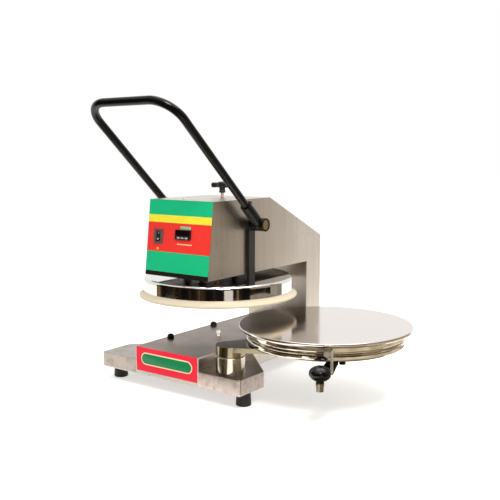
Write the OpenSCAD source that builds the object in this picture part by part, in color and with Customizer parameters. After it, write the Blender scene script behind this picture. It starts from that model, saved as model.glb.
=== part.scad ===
// Hand dough press with a swing-out lower platen.
// Drawn in the press frame: x to the operator's right, y to the back, z up from the floor,
// with x = y = 0 on the press axis. place() then moves the part onto its own origin.
// The lever is up and the lower platen is swung out.

/* [Base] */
// Width of the base over the two wings
base_w = 500; // [470:5:560]
// Press axis to the front face of the base
base_reach = 229; // [222:1:250]
// Length of a wing's square outer end
wing_end = 107; // [85:1:130]
// Height of the base above the floor
foot_h = 40; // [32:1:48]
// Height of the wings' walls
wing_h = 40; // [34:1:46]
// Height of the spine's walls
spine_h = 77.5; // [70:0.5:84]
// Diameter of a foot where it stands on the floor
foot_d = 41; // [34:1:46]
// Foot centre in from the side of the base
foot_inset = 24; // [24:1:40]
// Foot centre back from the front of the base
foot_setback = 49; // [30:1:60]
// Diameter of a rubber bumper
bumper_d = 20; // [14:1:26]
// Height of a rubber bumper
bumper_h = 12; // [8:1:15]
// Distance of the bumpers from the press axis, in x and in y
bumper_off = 100; // [85:1:100]
// Diameter of the centre stud
stud_d = 14; // [10:1:20]

/* [Housing] */
// Width of the head, the column and the spine
head_w = 228; // [220:1:240]
// Thickness of the sheet metal
sheet = 2; // [1.5:0.1:2.5]
// Height of the head at the front
head_h = 210.6; // [205:0.2:225]
// Press axis to the top front edge of the head
head_front_top = 162; // [155:1:170]
// Press axis to the bottom front edge of the head
head_front_low = 187; // [180:1:195]
// Press axis to the bend where the top starts to slope down
apex_y = 100; // [85:1:120]
// Press axis to the front of the column
column_y = 304.5; // [304:0.5:312]
// Depth of the column
column_depth = 81.5; // [75:0.5:95]
// Drop of the sloping top from its bend to the rear edge
rear_drop = 133.6; // [110:0.2:145]
// Thickness of the two C-shaped frame plates
frame_t = 8; // [6:0.5:10]
// How far the frame plates show below the head
frame_drop = 1; // [0.5:0.5:8]
// Press axis to the front end of the frame plates
frame_front = 135; // [125:1:145]

/* [Lower platen] */
// Diameter of both platens over the rim
platen_d = 460; // [440:1:462]
// Pivot post axis to the right of the press axis
pivot_right = 181.5; // [178:0.5:186]
// Pivot post axis in front of the press axis
pivot_front = 178; // [175:0.5:182]
// Angle that the platen is swung out from under the press
swing_out = 92.2; // [80:0.2:110]
// Diameter of the pivot post
post_d = 78; // [66:1:84]
// Height of the pivot post
post_h = 46; // [44:1:56]
// Diameter of the pivot pin
pin_d = 30; // [24:1:34]
// Height of the arm's boss on the post
boss_h = 27; // [25:1:34]
// Thickness of the arm's plate
arm_t = 13; // [10:0.5:15]
// Radius of the arm's end under the platen
arm_end_r = 110; // [90:1:130]
// Thickness of the round pad over the centre stud
pad_h = 5; // [3:0.5:6]
// Height of the drum under the lower platen
drum_h = 38; // [34:1:46]
// Diameter of the drum under the lower platen
drum_d = 420; // [400:2:430]
// Thickness of the lower platen's plate
plate_t = 11.5; // [9:0.5:14]
// Pull knob's distance from the side of the drum
pull_reach = 40; // [36:1:50]
// Pull knob's direction from the platen's centre when swung out
pull_angle = -62; // [-75:1:-45]
// Diameter of the pull knob
pull_d = 54; // [44:1:58]
// Height of the pull knob
pull_h = 38; // [30:1:44]

/* [Upper platen] */
// Gap between the platens with the lever up
opening = 40; // [39:1:55]
// Height of the pale rim
rim_h = 18.5; // [15:0.5:19]
// Thickness of the platen casting
casting_t = 21; // [20:0.5:24]
// Diameter of the chrome cover
cover_d = 434; // [420:2:438]
// Height from the platen's working face to the top of the cover
stack_h = 56.5; // [53:0.5:62]
// Gap between the cover and the underside of the head
head_gap = 15; // [14:0.5:22]

/* [Lever and links] */
// Angle of the lever above horizontal
lever_rise = 41.7; // [30:0.1:50]
// Lever length from the shaft's axis to the middle of the grip bar
lever_len = 488; // [440:1:520]
// Diameter of the lever tube
tube_d = 22; // [18:0.5:24]
// Wall of the lever tube
tube_wall = 2; // [1.5:0.1:3]
// Bend radius of the lever tube
bend_r = 70; // [50:1:90]
// Outside diameter of the sockets that hold the lever tube
socket_d = 32; // [29:0.5:35]
// Length of a socket from the shaft's axis
socket_len = 85; // [70:1:100]
// Diameter of a hub
hub_d = 37; // [34:0.5:40]
// Length of a hub
hub_len = 47; // [42:1:56]
// Diameter of the cross shaft
shaft_d = 22; // [18:0.5:24]
// Thickness of a link bar
link_t = 8; // [6:0.5:10]
// Width of a link bar
link_w = 28; // [26:1:34]

/* [Press mechanism] */
// Travel of the upper platen over the whole swing of the lever
travel = 36; // [31:0.5:36.5]
// Swing of the lever
lever_swing = 80; // [70:1:84]
// Shaft axis below the top of the head
shaft_drop = 70.2; // [69:0.2:76]
// Shaft axis to the shoe's nose centre with the lever up
cam_start = 30; // [29:0.5:32]
// Nose radius of a cam shoe
nose_r = 10; // [8:0.5:11]
// Thickness of a cam
cam_t = 16; // [12:1:20]
// Distance of the cams from the middle of the shaft
cam_x = 50; // [42:1:60]
// Height of the reaction beam
beam_h = 16; // [14:0.5:17]
// Adjusting screw behind the press axis
screw_y = 20.6; // [18:0.2:24]
// Diameter of the adjusting screw
screw_d = 10; // [8:0.5:12]
// Travel of the reaction beam each way
adjust = 3; // [1:0.5:3]
// Length of the adjusting knob's crossbar
knob_w = 72; // [60:1:84]
// Thickness of the adjusting knob's crossbar
knob_t = 17; // [12:1:20]
// Diameter of a guide post
guide_d = 20; // [16:0.5:22]
// Distance of the guide posts from the press axis
guide_off = 75; // [70:1:85]
// Length of a return spring with the lever up
spring_len = 112; // [105:1:118]
// Wire diameter of a return spring
wire_d = 3; // [2:0.1:3.5]
// Mean diameter of a return spring
spring_d = 31; // [30:0.5:36]
// Turns of a return spring
spring_turns = 9; // [6:1:10]

/* [Controls] */
// Middle of the rocker switch to the right of the panel's middle
switch_x = -72; // [-80:1:-60]
// Middle of the rocker switch above the panel's lower edge
switch_v = 110; // [100:1:125]
// Width of the switch frame
switch_w = 32; // [26:1:36]
// Height of the switch frame
switch_h = 40; // [37:1:44]
// Middle of the controller to the right of the panel's middle
control_x = 18; // [5:1:40]
// Middle of the controller above the panel's lower edge
control_v = 118; // [105:1:130]
// Width of the controller's face
control_w = 55; // [50:1:64]
// Height of the controller's face
control_h = 27; // [26:1:32]
// Pilot lamp above the panel's lower edge
lamp_v = 75; // [60:1:80]
// Diameter of the pilot lamp
lamp_d = 9; // [7:0.5:12]

/* [Hidden] */
$fn = 64;

// Clearances: running fit, pieces fixed in one body, and free gaps between moving pieces
run_gap = 0.05;
seat_gap = 0.05;
free_gap = 0.5;
cut = 1;

// Heights from the floor up
wing_top = foot_h + wing_h;
spine_top = foot_h + spine_h;
post_top = wing_top + post_h;
washer_t = 2;
boss_low = post_top + washer_t + 2 * run_gap;
arm_top = boss_low + boss_h;
arm_low = arm_top - arm_t;
lower_face = arm_top + drum_h + plate_t;
upper_face = lower_face + opening;
cover_top = upper_face + stack_h;
head_low = cover_top + head_gap;
head_top = head_low + head_h;
frame_low = head_low - frame_drop;
shaft_z = head_top - shaft_drop;

// Places in plan
half_w = head_w / 2;
rear_y = column_y + column_depth;
frame_out = half_w - sheet;
frame_in = frame_out - frame_t;
pivot = [pivot_right, -pivot_front];
arm_len = norm(pivot);
closed_angle = atan2(pivot_front, -pivot_right);
open_angle = closed_angle - swing_out;
open_centre = pivot + arm_len * [cos(open_angle), sin(open_angle)];
foot_places = [[base_w / 2 - foot_inset, foot_setback - base_reach],
  [foot_inset - base_w / 2, foot_setback - base_reach],
  [half_w - foot_d / 2 - 8, rear_y - foot_setback],
  [foot_d / 2 + 8 - half_w, rear_y - foot_setback]];

// Lever and link places along x
link_in = half_w + free_gap;
link_out = link_in + link_t;
hub_in = link_out + 2 * free_gap;
hub_out = hub_in + hub_len;
lever_x = hub_in + hub_len / 2;

// Press mechanism heights
nose_z = shaft_z + cam_start;
beam_low = nose_z + nose_r / 6;
beam_top = beam_low + beam_h;
bridge_t = 10;
bridge_low = beam_top + adjust + 2 * free_gap;
bridge_top = bridge_low + bridge_t;
guide_t = 12;
guide_low = head_low + sheet;
guide_top = guide_low + guide_t;
flange_t = 3;
spring_low = guide_top + flange_t;
collar_low = spring_low + spring_len;
collar_t = 10;
guide_post_top = collar_low + collar_t + 4;
casting_top = upper_face + casting_t;

// Where the gland ends, behind the column
gland_len = 22;
part_min = [-base_w / 2, -lever_len * cos(lever_rise) - tube_d / 2];
part_max = [open_centre[0] + platen_d / 2, rear_y + gland_len];
part_mid = (part_min + part_max) / 2;

// Panel's slope and its length up the slope
panel_run = head_front_low - head_front_top;
panel_lean = atan2(panel_run, head_h);
panel_len = norm([panel_run, head_h]);
overlay_t = 0.4;

// Colours
steel = [0.72, 0.69, 0.65];
chrome = [0.86, 0.86, 0.87];
black = [0.09, 0.09, 0.1];
bronze = [0.68, 0.52, 0.3];
cream = [0.9, 0.87, 0.8];

// Points on an arc, counted by angle steps
function arc(centre, r, from, to, steps = 8) =
  let (turn = (to - from) / steps)
    [for (i = [0:steps]) centre + r * [cos(from + turn * i), sin(from + turn * i)]];

// Left-hand unit normal of the line from a to b
function left(a, b) = [a[1] - b[1], b[0] - a[0]] / norm(b - a);

// A path moved to its right by t, with its corners kept sharp
function shift_path(p, t) = [for (i = [0:len(p) - 1])
  let (n1 = left(p[max(i - 1, 0)], p[max(i - 1, 0) + 1]))
  let (n2 = left(p[min(i, len(p) - 2)], p[min(i, len(p) - 2) + 1]))
  p[i] - t * (n1 + n2) / (1 + n1 * n2)];

function reversed(p) = [for (i = [len(p) - 1:-1:0]) p[i]];

// Outline of the housing's top, slope and back, from the front to the foot of the column
rear_top = head_top - rear_drop;
wrap_path = [[-head_front_top, head_top], [apex_y, head_top], [rear_y, rear_top], [rear_y, spine_top]];
frame_path = shift_path(wrap_path, 3 * sheet);

// Moves the press frame onto the middle of the part's own box
module place() {
  translate([-part_mid[0], -part_mid[1], 0])
    children();
}

// Extrudes a side view, drawn as y and z, along x
module side_view(x, t) {
  translate([x, 0, 0])
    rotate([90, 0, 90])
      linear_extrude(t)
        children();
}

// A round bar along x
module bar_x(x, l, d) {
  translate([x, 0, 0])
    rotate([0, 90, 0])
      cylinder(h = l, d = d);
}

// Puts a piece drawn flat on the sloping control panel, with z out of its face
module on_panel(u, v) {
  translate([0, -head_front_low, head_low])
    rotate([90 - panel_lean, 0, 0])
      translate([u, v, 0])
        children();
}

// A box centred in x and y
module block(w, d, low, high) {
  translate([-w / 2, -d / 2, low])
    cube([w, d, high - low]);
}

// Lays a piece out along the lever, with y along the lever's tube
module along_lever() {
  translate([0, 0, shaft_z])
    rotate([180 - lever_rise, 0, 0])
      children();
}

// Moves a piece to the lower platen's centre
module at_lower() {
  translate([open_centre[0], open_centre[1], 0])
    children();
}

// Moves a piece to the pull bracket, with x pointing away from the platen's centre
module at_pull() {
  at_lower()
    rotate([0, 0, pull_angle])
      children();
}

// Plan of one wing inside a wall of thickness t, with bent corners
wing_bend = 5;
wing_slope_y = wing_end - base_reach;
wing_root_y = wing_slope_y + base_w / 2 - half_w;
module wing_plan(t) {
  out = base_w / 2 - t;
  front = t - base_reach;
  bend = wing_bend - t / 2;
  tip = wing_slope_y - t * (sqrt(2) - 1);
  corner = arc([out - bend, front + bend], bend, -90, 0, 5);
  polygon(concat([[half_w, front]], corner, [[out, tip], [half_w, wing_root_y - t * sqrt(2)]]));
}

module base_wing() {
  difference() {
    translate([0, 0, foot_h])
      linear_extrude(wing_h)
        wing_plan(0);
    translate([0, 0, foot_h - cut])
      linear_extrude(wing_h - sheet + cut)
        wing_plan(sheet);
  }
}

module base_wing_right() {
  color(steel)
    place()
      base_wing();
}

module base_wing_left() {
  color(steel)
    place()
      mirror([1, 0, 0])
        base_wing();
}

module base_spine() {
  inside = head_w - 2 * sheet;
  long = rear_y + base_reach;
  notch_y = column_y + sheet;
  color(steel)
    place()
      difference() {
        translate([-half_w, -base_reach, foot_h])
          cube([head_w, long, spine_h]);
        translate([-inside / 2, sheet - base_reach, foot_h - cut])
          cube([inside, long - 2 * sheet, spine_h - sheet + cut]);
        for (x = [frame_in, -frame_out])
          translate([x - free_gap, notch_y, spine_top - sheet - cut])
            cube([frame_t + 2 * free_gap, rear_y - 2 * sheet - notch_y, sheet + 2 * cut]);
      }
}

module base_bottom_plate() {
  color(steel)
    place()
      difference() {
        translate([0, 0, foot_h - sheet])
          linear_extrude(sheet)
            union() {
              translate([-half_w, -base_reach])
                square([head_w, rear_y + base_reach]);
              wing_plan(0);
              mirror([1, 0])
                wing_plan(0);
            }
        for (p = foot_places)
          translate([p[0], p[1], foot_h - 2 * sheet])
            cylinder(h = 3 * sheet, d = foot_bolt_d + 2 * seat_gap);
      }
}

foot_bolt_d = 8;
foot_recess_d = 18;
foot_recess_h = 18;
module feet() {
  top = foot_h - sheet;
  lip = 2;
  color(black)
    place()
      for (p = foot_places)
        translate([p[0], p[1], 0])
          rotate_extrude()
            polygon([[foot_recess_d / 2, 0], [foot_d / 2 - lip, 0], [foot_d / 2, lip], [foot_d / 2 - lip, top],
              [foot_bolt_d / 2 + seat_gap, top], [foot_bolt_d / 2 + seat_gap, foot_recess_h],
              [foot_recess_d / 2, foot_recess_h]]);
}

module foot_screws() {
  head_h = 5;
  nut_h = 6;
  nut_d = 14;
  color(chrome)
    place()
      for (p = foot_places)
        translate([p[0], p[1], 0]) {
          translate([0, 0, foot_recess_h - head_h])
            cylinder(h = head_h, d = foot_recess_d - 2);
          translate([0, 0, foot_recess_h])
            cylinder(h = foot_h + nut_h - foot_recess_h, d = foot_bolt_d);
          translate([0, 0, foot_h])
            cylinder(h = nut_h, d = nut_d, $fn = 6);
        }
}

label_t = 1;
module base_label() {
  label_low = foot_h + wing_h * 0.375;
  color([0.93, 0.18, 0.27])
    place()
      translate([-half_w, -base_reach - label_t, label_low])
        cube([head_w, label_t, spine_top - label_low]);
}

module bumpers() {
  round_r = 3;
  color(black)
    place()
      for (x = [-1, 1], y = [-1, 1])
        translate([x * bumper_off, y * bumper_off, spine_top])
          rotate_extrude()
            polygon(concat([[0, 0], [bumper_d / 2, 0]],
              arc([bumper_d / 2 - round_r, bumper_h - round_r], round_r, 0, 90, 5), [[0, bumper_h]]));
}

module centre_stud() {
  stud_h = arm_low - pad_h - spine_top - 1;
  neck = stud_d * 0.35;
  bevel = 1.5;
  color(chrome)
    place()
      translate([0, 0, spine_top])
        rotate_extrude()
          polygon([[0, 0], [neck, 0], [neck, stud_h * 0.35], [stud_d / 2, stud_h * 0.45],
            [stud_d / 2, stud_h - bevel], [stud_d / 2 - bevel, stud_h], [0, stud_h]]);
}

pin_sink = 36;
module pivot_post() {
  bevel = 1;
  color(steel)
    place()
      translate([pivot[0], pivot[1], 0])
        rotate_extrude()
          polygon([[0, wing_top], [post_d / 2, wing_top], [post_d / 2, post_top - bevel],
            [post_d / 2 - bevel, post_top], [pin_d / 2 + seat_gap, post_top],
            [pin_d / 2 + seat_gap, post_top - pin_sink], [0, post_top - pin_sink]]);
}

pin_top = arm_top - 7;
module pivot_pin() {
  color(chrome)
    place()
      translate([pivot[0], pivot[1], post_top - pin_sink])
        cylinder(h = pin_top - post_top + pin_sink, d = pin_d);
}

// Slot that the cross shaft slides in, with room for the adjusting travel
module shaft_slot(gap) {
  slot_low = shaft_z - travel - adjust - gap;
  slot_high = shaft_z + adjust + gap;
  for (z = [slot_low, slot_high])
    translate([0, z])
      circle(d = shaft_d + 2 * gap);
  translate([-shaft_d / 2 - gap, slot_low])
    square([shaft_d + 2 * gap, slot_high - slot_low]);
}

module frame_plate(x) {
  front = column_y + sheet + free_gap;
  color(black)
    place()
      side_view(x, frame_t)
        difference() {
          polygon([[front, foot_h], [frame_path[3][0], foot_h], frame_path[2], frame_path[1],
            [-frame_front, frame_path[0][1]], [-frame_front, frame_low], [front, frame_low]]);
          shaft_slot(1);
        }
}

module frame_plate_right() {
  frame_plate(frame_in);
}

module frame_plate_left() {
  frame_plate(-frame_out);
}

module housing_side(x) {
  color(steel)
    place()
      side_view(x, sheet)
        difference() {
          polygon([[column_y, spine_top], [rear_y, spine_top], wrap_path[2], wrap_path[1], wrap_path[0],
            [-head_front_low, head_low], [column_y, head_low]]);
          shaft_slot(0.8);
        }
}

module housing_right() {
  housing_side(half_w - sheet);
}

module housing_left() {
  housing_side(-half_w);
}

module housing_wrap() {
  front = sheet / cos(panel_lean) + seat_gap - head_front_top;
  path = concat([[front, head_top]], [for (i = [1:3]) wrap_path[i]]);
  color(steel)
    place()
      difference() {
        side_view(-frame_out, 2 * frame_out)
          polygon(concat(path, reversed(shift_path(path, sheet))));
        translate([0, screw_y, head_top - 2 * sheet])
          cylinder(h = 4 * sheet, d = screw_d + 3);
        translate([0, rear_y, gland_z])
          rotate([90, 0, 0])
            cylinder(h = 6 * sheet, d = gland_d + 2 * seat_gap, center = true);
      }
}

module rear_cover() {
  edge = 22;
  low = gland_z + 2 * edge;
  high = head_top - rear_drop - edge;
  bolt_in = 10;
  bolt_d = 9;
  bolt_h = 3;
  color(steel)
    place() {
      translate([edge - half_w, rear_y, low])
        cube([head_w - 2 * edge, 1.5 * sheet, high - low]);
      for (x = [-1, 1], z = [low + bolt_in, high - bolt_in])
        translate([x * (half_w - edge - bolt_in), rear_y + 1.5 * sheet, z])
          rotate([-90, 0, 0])
            cylinder(h = bolt_h, d1 = bolt_d, d2 = bolt_d - 3);
    }
}

module column_cover() {
  color(steel)
    place()
      translate([-frame_out, column_y, spine_top])
        cube([2 * frame_out, sheet, frame_low - free_gap - spine_top]);
}

module head_underside() {
  front = sheet - head_front_low + 1;
  color(black)
    place()
      difference() {
        translate([0, 0, head_low])
          linear_extrude(sheet)
            polygon([[-frame_out, front], [frame_out, front], [frame_out, -frame_front],
              [frame_in, -frame_front], [frame_in, column_y], [-frame_in, column_y],
              [-frame_in, -frame_front], [-frame_out, -frame_front]]);
        for (y = [-1, 1])
          translate([0, y * guide_off, head_low - cut])
            cylinder(h = sheet + 2 * cut, d = bush_d + 2 * free_gap);
      }
}

// Cut-outs for the controls, shared by the panel and its overlay
rocker_w = 14;
rocker_h = 26;
switch_body_w = 20;
switch_body_h = 33;
control_deep = 40;
control_body_w = 46;
control_body_h = 22;
module control_holes(low, high) {
  deep = high - low;
  translate([switch_x, switch_v, low])
    block(switch_body_w + 2 * seat_gap, switch_body_h + 2 * seat_gap, 0, deep);
  translate([control_x, control_v, low])
    block(control_body_w + 2 * seat_gap, control_body_h + 2 * seat_gap, 0, deep);
  translate([switch_x, lamp_v, low])
    cylinder(h = deep, d = lamp_d - 2 + 2 * seat_gap);
}

module control_panel() {
  color(steel)
    place()
      on_panel(0, 0)
        difference() {
          translate([-frame_out, 0, -sheet])
            cube([2 * frame_out, panel_len, sheet]);
          control_holes(-sheet - cut, cut);
        }
}

module panel_overlay() {
  color([0.9, 0.16, 0.14])
    place()
      on_panel(0, 0)
        difference() {
          translate([-half_w + free_gap, 0, 0])
            cube([head_w - 2 * free_gap, panel_len, overlay_t]);
          control_holes(-cut, overlay_t + cut);
        }
}

rocker_pin_d = 3;
rocker_axis = -3;
frame_high = overlay_t + 2.5;
switch_deep = 24;
module switch_frame() {
  color(black)
    place()
      on_panel(switch_x, switch_v)
        difference() {
          union() {
            block(switch_w, switch_h, overlay_t, frame_high);
            block(switch_body_w, switch_body_h, -switch_deep, overlay_t);
          }
          block(rocker_w + 1, rocker_h + 3, -10, frame_high + cut);
          translate([0, 0, rocker_axis])
            bar_x(-rocker_w / 2 - 2, rocker_w + 4, rocker_pin_d + 2 * run_gap);
        }
}

rocker_tilt = 7;
module power_rocker() {
  end = rocker_h / 2;
  color([0.14, 0.14, 0.15])
    place()
      on_panel(switch_x, switch_v)
        translate([0, 0, rocker_axis])
          rotate([-rocker_tilt, 0, 0]) {
            side_view(-rocker_w / 2, rocker_w)
              polygon([[-end, -3], [end, -3], [end, 6.6], [end / 2, 5.2], [0, 4.6],
                [-end / 2, 5.2], [-end, 6.6]]);
            bar_x(-rocker_w / 2 - 1.5, rocker_w + 3, rocker_pin_d);
          }
}

// Controller face: a window over a row of three buttons
window_h = 14;
window_t = 1.5;
control_high = overlay_t + 4;
window_v = control_h / 2 - window_h / 2 - 2;
button_v = 5 - control_h / 2;
button_w = 9;
button_h = 4;
button_pitch = 14;
button_travel = 0.8;
module button_wells(grow) {
  for (i = [-1:1])
    translate([i * button_pitch, button_v, 0])
      block(button_w + grow, button_h + grow, overlay_t + 1, control_high + cut);
}

module controller_body() {
  window_w = control_w - 5;
  color([0.16, 0.16, 0.17])
    place()
      on_panel(control_x, control_v)
        difference() {
          union() {
            block(control_w, control_h, overlay_t, control_high);
            block(control_body_w, control_body_h, -control_deep, overlay_t);
          }
          translate([0, window_v, 0])
            block(window_w, window_h, control_high - window_t, control_high + cut);
          button_wells(0.6);
        }
}

module controller_window() {
  window_w = control_w - 5 - 2 * seat_gap;
  color([0.05, 0.03, 0.04])
    place()
      on_panel(control_x, control_v)
        translate([0, window_v, 0])
          block(window_w, window_h - 2 * seat_gap, control_high - window_t, control_high - 0.3);
}

module button(i) {
  color([0.75, 0.75, 0.74])
    place()
      on_panel(control_x + i * button_pitch, control_v + button_v)
        block(button_w, button_h, overlay_t + 1 + button_travel + 0.1, control_high + 1);
}

module button_left() {
  button(-1);
}

module button_middle() {
  button(0);
}

module button_right() {
  button(1);
}

module pilot_lamp() {
  lens_h = 4;
  color([1, 0.6, 0.1])
    place()
      on_panel(switch_x, lamp_v)
        rotate_extrude()
          polygon(concat([[0, -12], [lamp_d / 2 - 1, -12], [lamp_d / 2 - 1, overlay_t]],
            [[lamp_d / 2, overlay_t]],
            [for (a = [0:15:90]) [lamp_d / 2 * cos(a), overlay_t + 1 + (lens_h - 1) * sin(a)]]));
}

gland_d = 20;
gland_z = spine_top + 2 * gland_d;
module cord_gland() {
  nut_t = 8;
  nut_d = 28;
  mouth_d = 11;
  dome_r = 4;
  color(black)
    place()
      translate([0, rear_y, gland_z])
        rotate([-90, 0, 0])
          difference() {
            union() {
              translate([0, 0, -12])
                cylinder(h = 13, d = gland_d);
              cylinder(h = nut_t, d = nut_d, $fn = 6);
              rotate_extrude()
                polygon(concat([[0, 0], [gland_d / 2 + 1, 0]],
                  arc([gland_d / 2 + 1 - dome_r, gland_len - dome_r], dome_r, 0, 90, 5), [[0, gland_len]]));
            }
            translate([0, 0, -12 - cut])
              cylinder(h = gland_len + 12 + 2 * cut, d = mouth_d);
          }
}

bush_d = guide_d + 8;
module guide_plate() {
  edge = 25;
  deep = 2 * (guide_off + bush_d / 2 + edge);
  color(black)
    place()
      difference() {
        block(2 * frame_in, deep, guide_low, guide_top);
        for (y = [-1, 1])
          translate([0, y * guide_off, guide_low - cut])
            cylinder(h = guide_t + 2 * cut, d = bush_d + 2 * seat_gap);
      }
}

module guide_bushes() {
  bush_low = head_low - 2;
  color(bronze)
    place()
      for (y = [-1, 1])
        translate([0, y * guide_off, 0])
          rotate_extrude()
            polygon([[guide_d / 2 + run_gap, bush_low], [bush_d / 2, bush_low], [bush_d / 2, guide_top],
              [spring_d / 2 + wire_d, guide_top], [spring_d / 2 + wire_d, spring_low],
              [guide_d / 2 + run_gap, spring_low]]);
}

module bridge_plate() {
  front = 40;
  back = 60;
  color(black)
    place()
      difference() {
        translate([-frame_in, -front, bridge_low])
          cube([2 * frame_in, front + back, bridge_t]);
        translate([0, screw_y, bridge_low - cut])
          cylinder(h = bridge_t + 2 * cut, d = screw_d + 2 * run_gap);
      }
}

// Helical return springs: one unbroken tube each, eight rings to a turn and six sides
spring_rings = 8;
spring_sides = 6;
spring_rise = (spring_len - wire_d - 2 * free_gap) / spring_turns;
spring_slope = atan2(spring_rise, PI * spring_d);
function coil_point(i, j) =
  let (a = 360 * i / spring_rings)
  let (b = 360 * j / spring_sides)
  let (out = spring_d / 2 + wire_d / 2 * cos(b))
  let (lean = wire_d / 2 * sin(b) * sin(spring_slope))
  [out * cos(a) + lean * sin(a), out * sin(a) - lean * cos(a),
    wire_d / 2 * sin(b) * cos(spring_slope) + spring_rise * i / spring_rings];
module coil() {
  last = spring_turns * spring_rings;
  points = [for (i = [0:last], j = [0:spring_sides - 1]) coil_point(i, j)];
  walls = [for (i = [0:last - 1], j = [0:spring_sides - 1], half = [0, 1])
    let (k = (j + 1) % spring_sides)
    let (a = i * spring_sides + j)
    let (b = i * spring_sides + k)
    half == 0 ? [a, b, b + spring_sides] : [a, b + spring_sides, a + spring_sides]];
  ends = [for (j = [1:spring_sides - 2], end = [0, 1])
    let (first = end * last * spring_sides)
    end == 0 ? [first, first + j + 1, first + j] : [first, first + j, first + j + 1]];
  polyhedron(points, concat(walls, ends));
}

module return_springs() {
  color([0.5, 0.5, 0.52])
    place()
      for (y = [-1, 1])
        translate([0, y * guide_off, spring_low + wire_d / 2 + free_gap])
          coil();
}

// Least gap of a spring to itself, measured between its rings' centres half a turn apart or more
function coil_centre(i) = (coil_point(i, 0) + coil_point(i, spring_sides / 2)) / 2;
coil_steps = [for (j = [spring_rings / 2:2 * spring_rings]) norm(coil_centre(j) - coil_centre(0))];
spring_self_gap = min(coil_steps) - wire_d;
echo(spring_self_gap = spring_self_gap);

// Adjusting knob and its screw, held between the bridge plate and the roof
stem_low = head_top + 12;
stem_h = 15;
knob_low = stem_low + stem_h;
module adjust_knob() {
  end_r = knob_t / 2;
  color(black)
    place()
      translate([0, screw_y, 0])
        difference() {
          union() {
            translate([0, 0, stem_low])
              cylinder(h = stem_h + knob_t / 2, d = screw_d + 6);
            translate([0, 0, knob_low + knob_t / 2]) {
              bar_x(end_r - knob_w / 2, knob_w - 2 * end_r, knob_t);
              for (x = [-1, 1])
                translate([x * (knob_w / 2 - end_r), 0, 0])
                  sphere(d = knob_t);
            }
          }
          translate([0, 0, stem_low - cut])
            cylinder(h = stem_h + cut, d = screw_d + 2 * seat_gap);
        }
}

module adjust_screw() {
  collar_low_z = bridge_top + 2 * run_gap;
  collar_high = head_top - sheet - 0.4;
  color(chrome)
    place()
      translate([0, screw_y, 0])
        rotate_extrude()
          polygon([[0, beam_low + 2], [screw_d / 2, beam_low + 2], [screw_d / 2, collar_low_z],
            [screw_d / 2 + 3, collar_low_z], [screw_d / 2 + 3, collar_high], [screw_d / 2, collar_high],
            [screw_d / 2, knob_low], [0, knob_low]]);
}

module reaction_beam() {
  half = frame_in - 2 * free_gap;
  front = 18;
  back = screw_y + screw_d / 2 + 10;
  color([0.45, 0.45, 0.47])
    place()
      difference() {
        union() {
          translate([-half, -front, beam_low])
            cube([2 * half, front + back, beam_h]);
          for (side = [-1, 1])
            translate([0, 0, nose_z])
              bar_x(side * cam_x - cam_t / 2 - 2, cam_t + 4, 2 * nose_r);
        }
        translate([0, screw_y, beam_low - cut])
          cylinder(h = beam_h + 2 * cut, d = screw_d + 2 * run_gap);
      }
}

// Upper platen: a casting with a pale flared rim, lugs for the links and seats for the guide posts
lug_in = link_in - 14;
lug_w = link_w + 4;
module upper_platen() {
  r = platen_d / 2;
  cover_r = cover_d / 2;
  lip = 3;
  edge_h = 5;
  step_in = 4;
  rows = 6;
  curl = 1.8;
  flare = [for (i = [0:rows]) let (up = i / rows)
    [cover_r + (r - cover_r) * pow(1 - up, curl), edge_h + (rim_h - edge_h) * up]];
  color(cream)
    place() {
      translate([0, 0, upper_face])
        rotate_extrude()
          polygon(concat([[0, 0], [r - lip, 0]], arc([r - lip, lip], lip, -90, 0, 4), flare,
            [[cover_r - step_in, rim_h], [cover_r - step_in, casting_t], [0, casting_t]]));
      for (side = [-1, 1])
        translate([side * (lug_in + link_in) / 2, 0, 0])
          block(link_in - lug_in, lug_w, casting_top, cover_top - 4 * sheet);
    }
}

module platen_cover() {
  r = cover_d / 2;
  edge = 9;
  wall = 1.5;
  low = upper_face + rim_h;
  outer = concat([[r, low]], arc([r - edge, cover_top - edge], edge, 0, 90), [[0, cover_top]]);
  inner_edge = arc([r - edge, cover_top - edge], edge - wall, 90, 0);
  inner = concat([[0, cover_top - wall]], inner_edge, [[r - wall, low]]);
  color(chrome)
    place()
      difference() {
        rotate_extrude($fn = 96)
          polygon(concat(outer, inner));
        for (y = [-1, 1])
          translate([0, y * guide_off, cover_top - 3 * wall])
            cylinder(h = 6 * wall, d = guide_d + 2 * free_gap);
        for (side = [-1, 1])
          translate([side * (link_in + link_out) / 2, 0, 0])
            block(link_t + 2 * free_gap, link_w + 2 * free_gap, cover_top - 3 * wall, cover_top + 3 * wall);
        for (side = [-1, 1])
          translate([-side * terminal_x, side * terminal_y, cover_top - 3 * wall])
            cylinder(h = 6 * wall, d = terminal_d + 2 * free_gap);
      }
}

heater_t = 8;
heater_gap = 10;
lug_gap = 1;
heater_share = 0.672;
heater_out = cover_d / 2 - 3 * heater_gap;
heater_in = heater_share * heater_out;
heater_mid = (heater_in + heater_out) / 2;
terminal_d = 8;
terminal_x = frame_in - 1.2 * terminal_d;
terminal_y = sqrt(pow(heater_mid, 2) - pow(terminal_x, 2));
module ring_heater() {
  color([0.4, 0.38, 0.36])
    place()
      translate([0, 0, casting_top])
        difference() {
          cylinder(h = heater_t, r = heater_out);
          translate([0, 0, -cut])
            cylinder(h = heater_t + 2 * cut, r = heater_in);
          for (side = [-1, 1])
            translate([side * (lug_in + link_in + link_t) / 2, 0, 0])
              block(link_in + link_t - lug_in + 2 * lug_gap, lug_w + 2 * lug_gap, -cut, heater_t + cut);
        }
}

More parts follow.
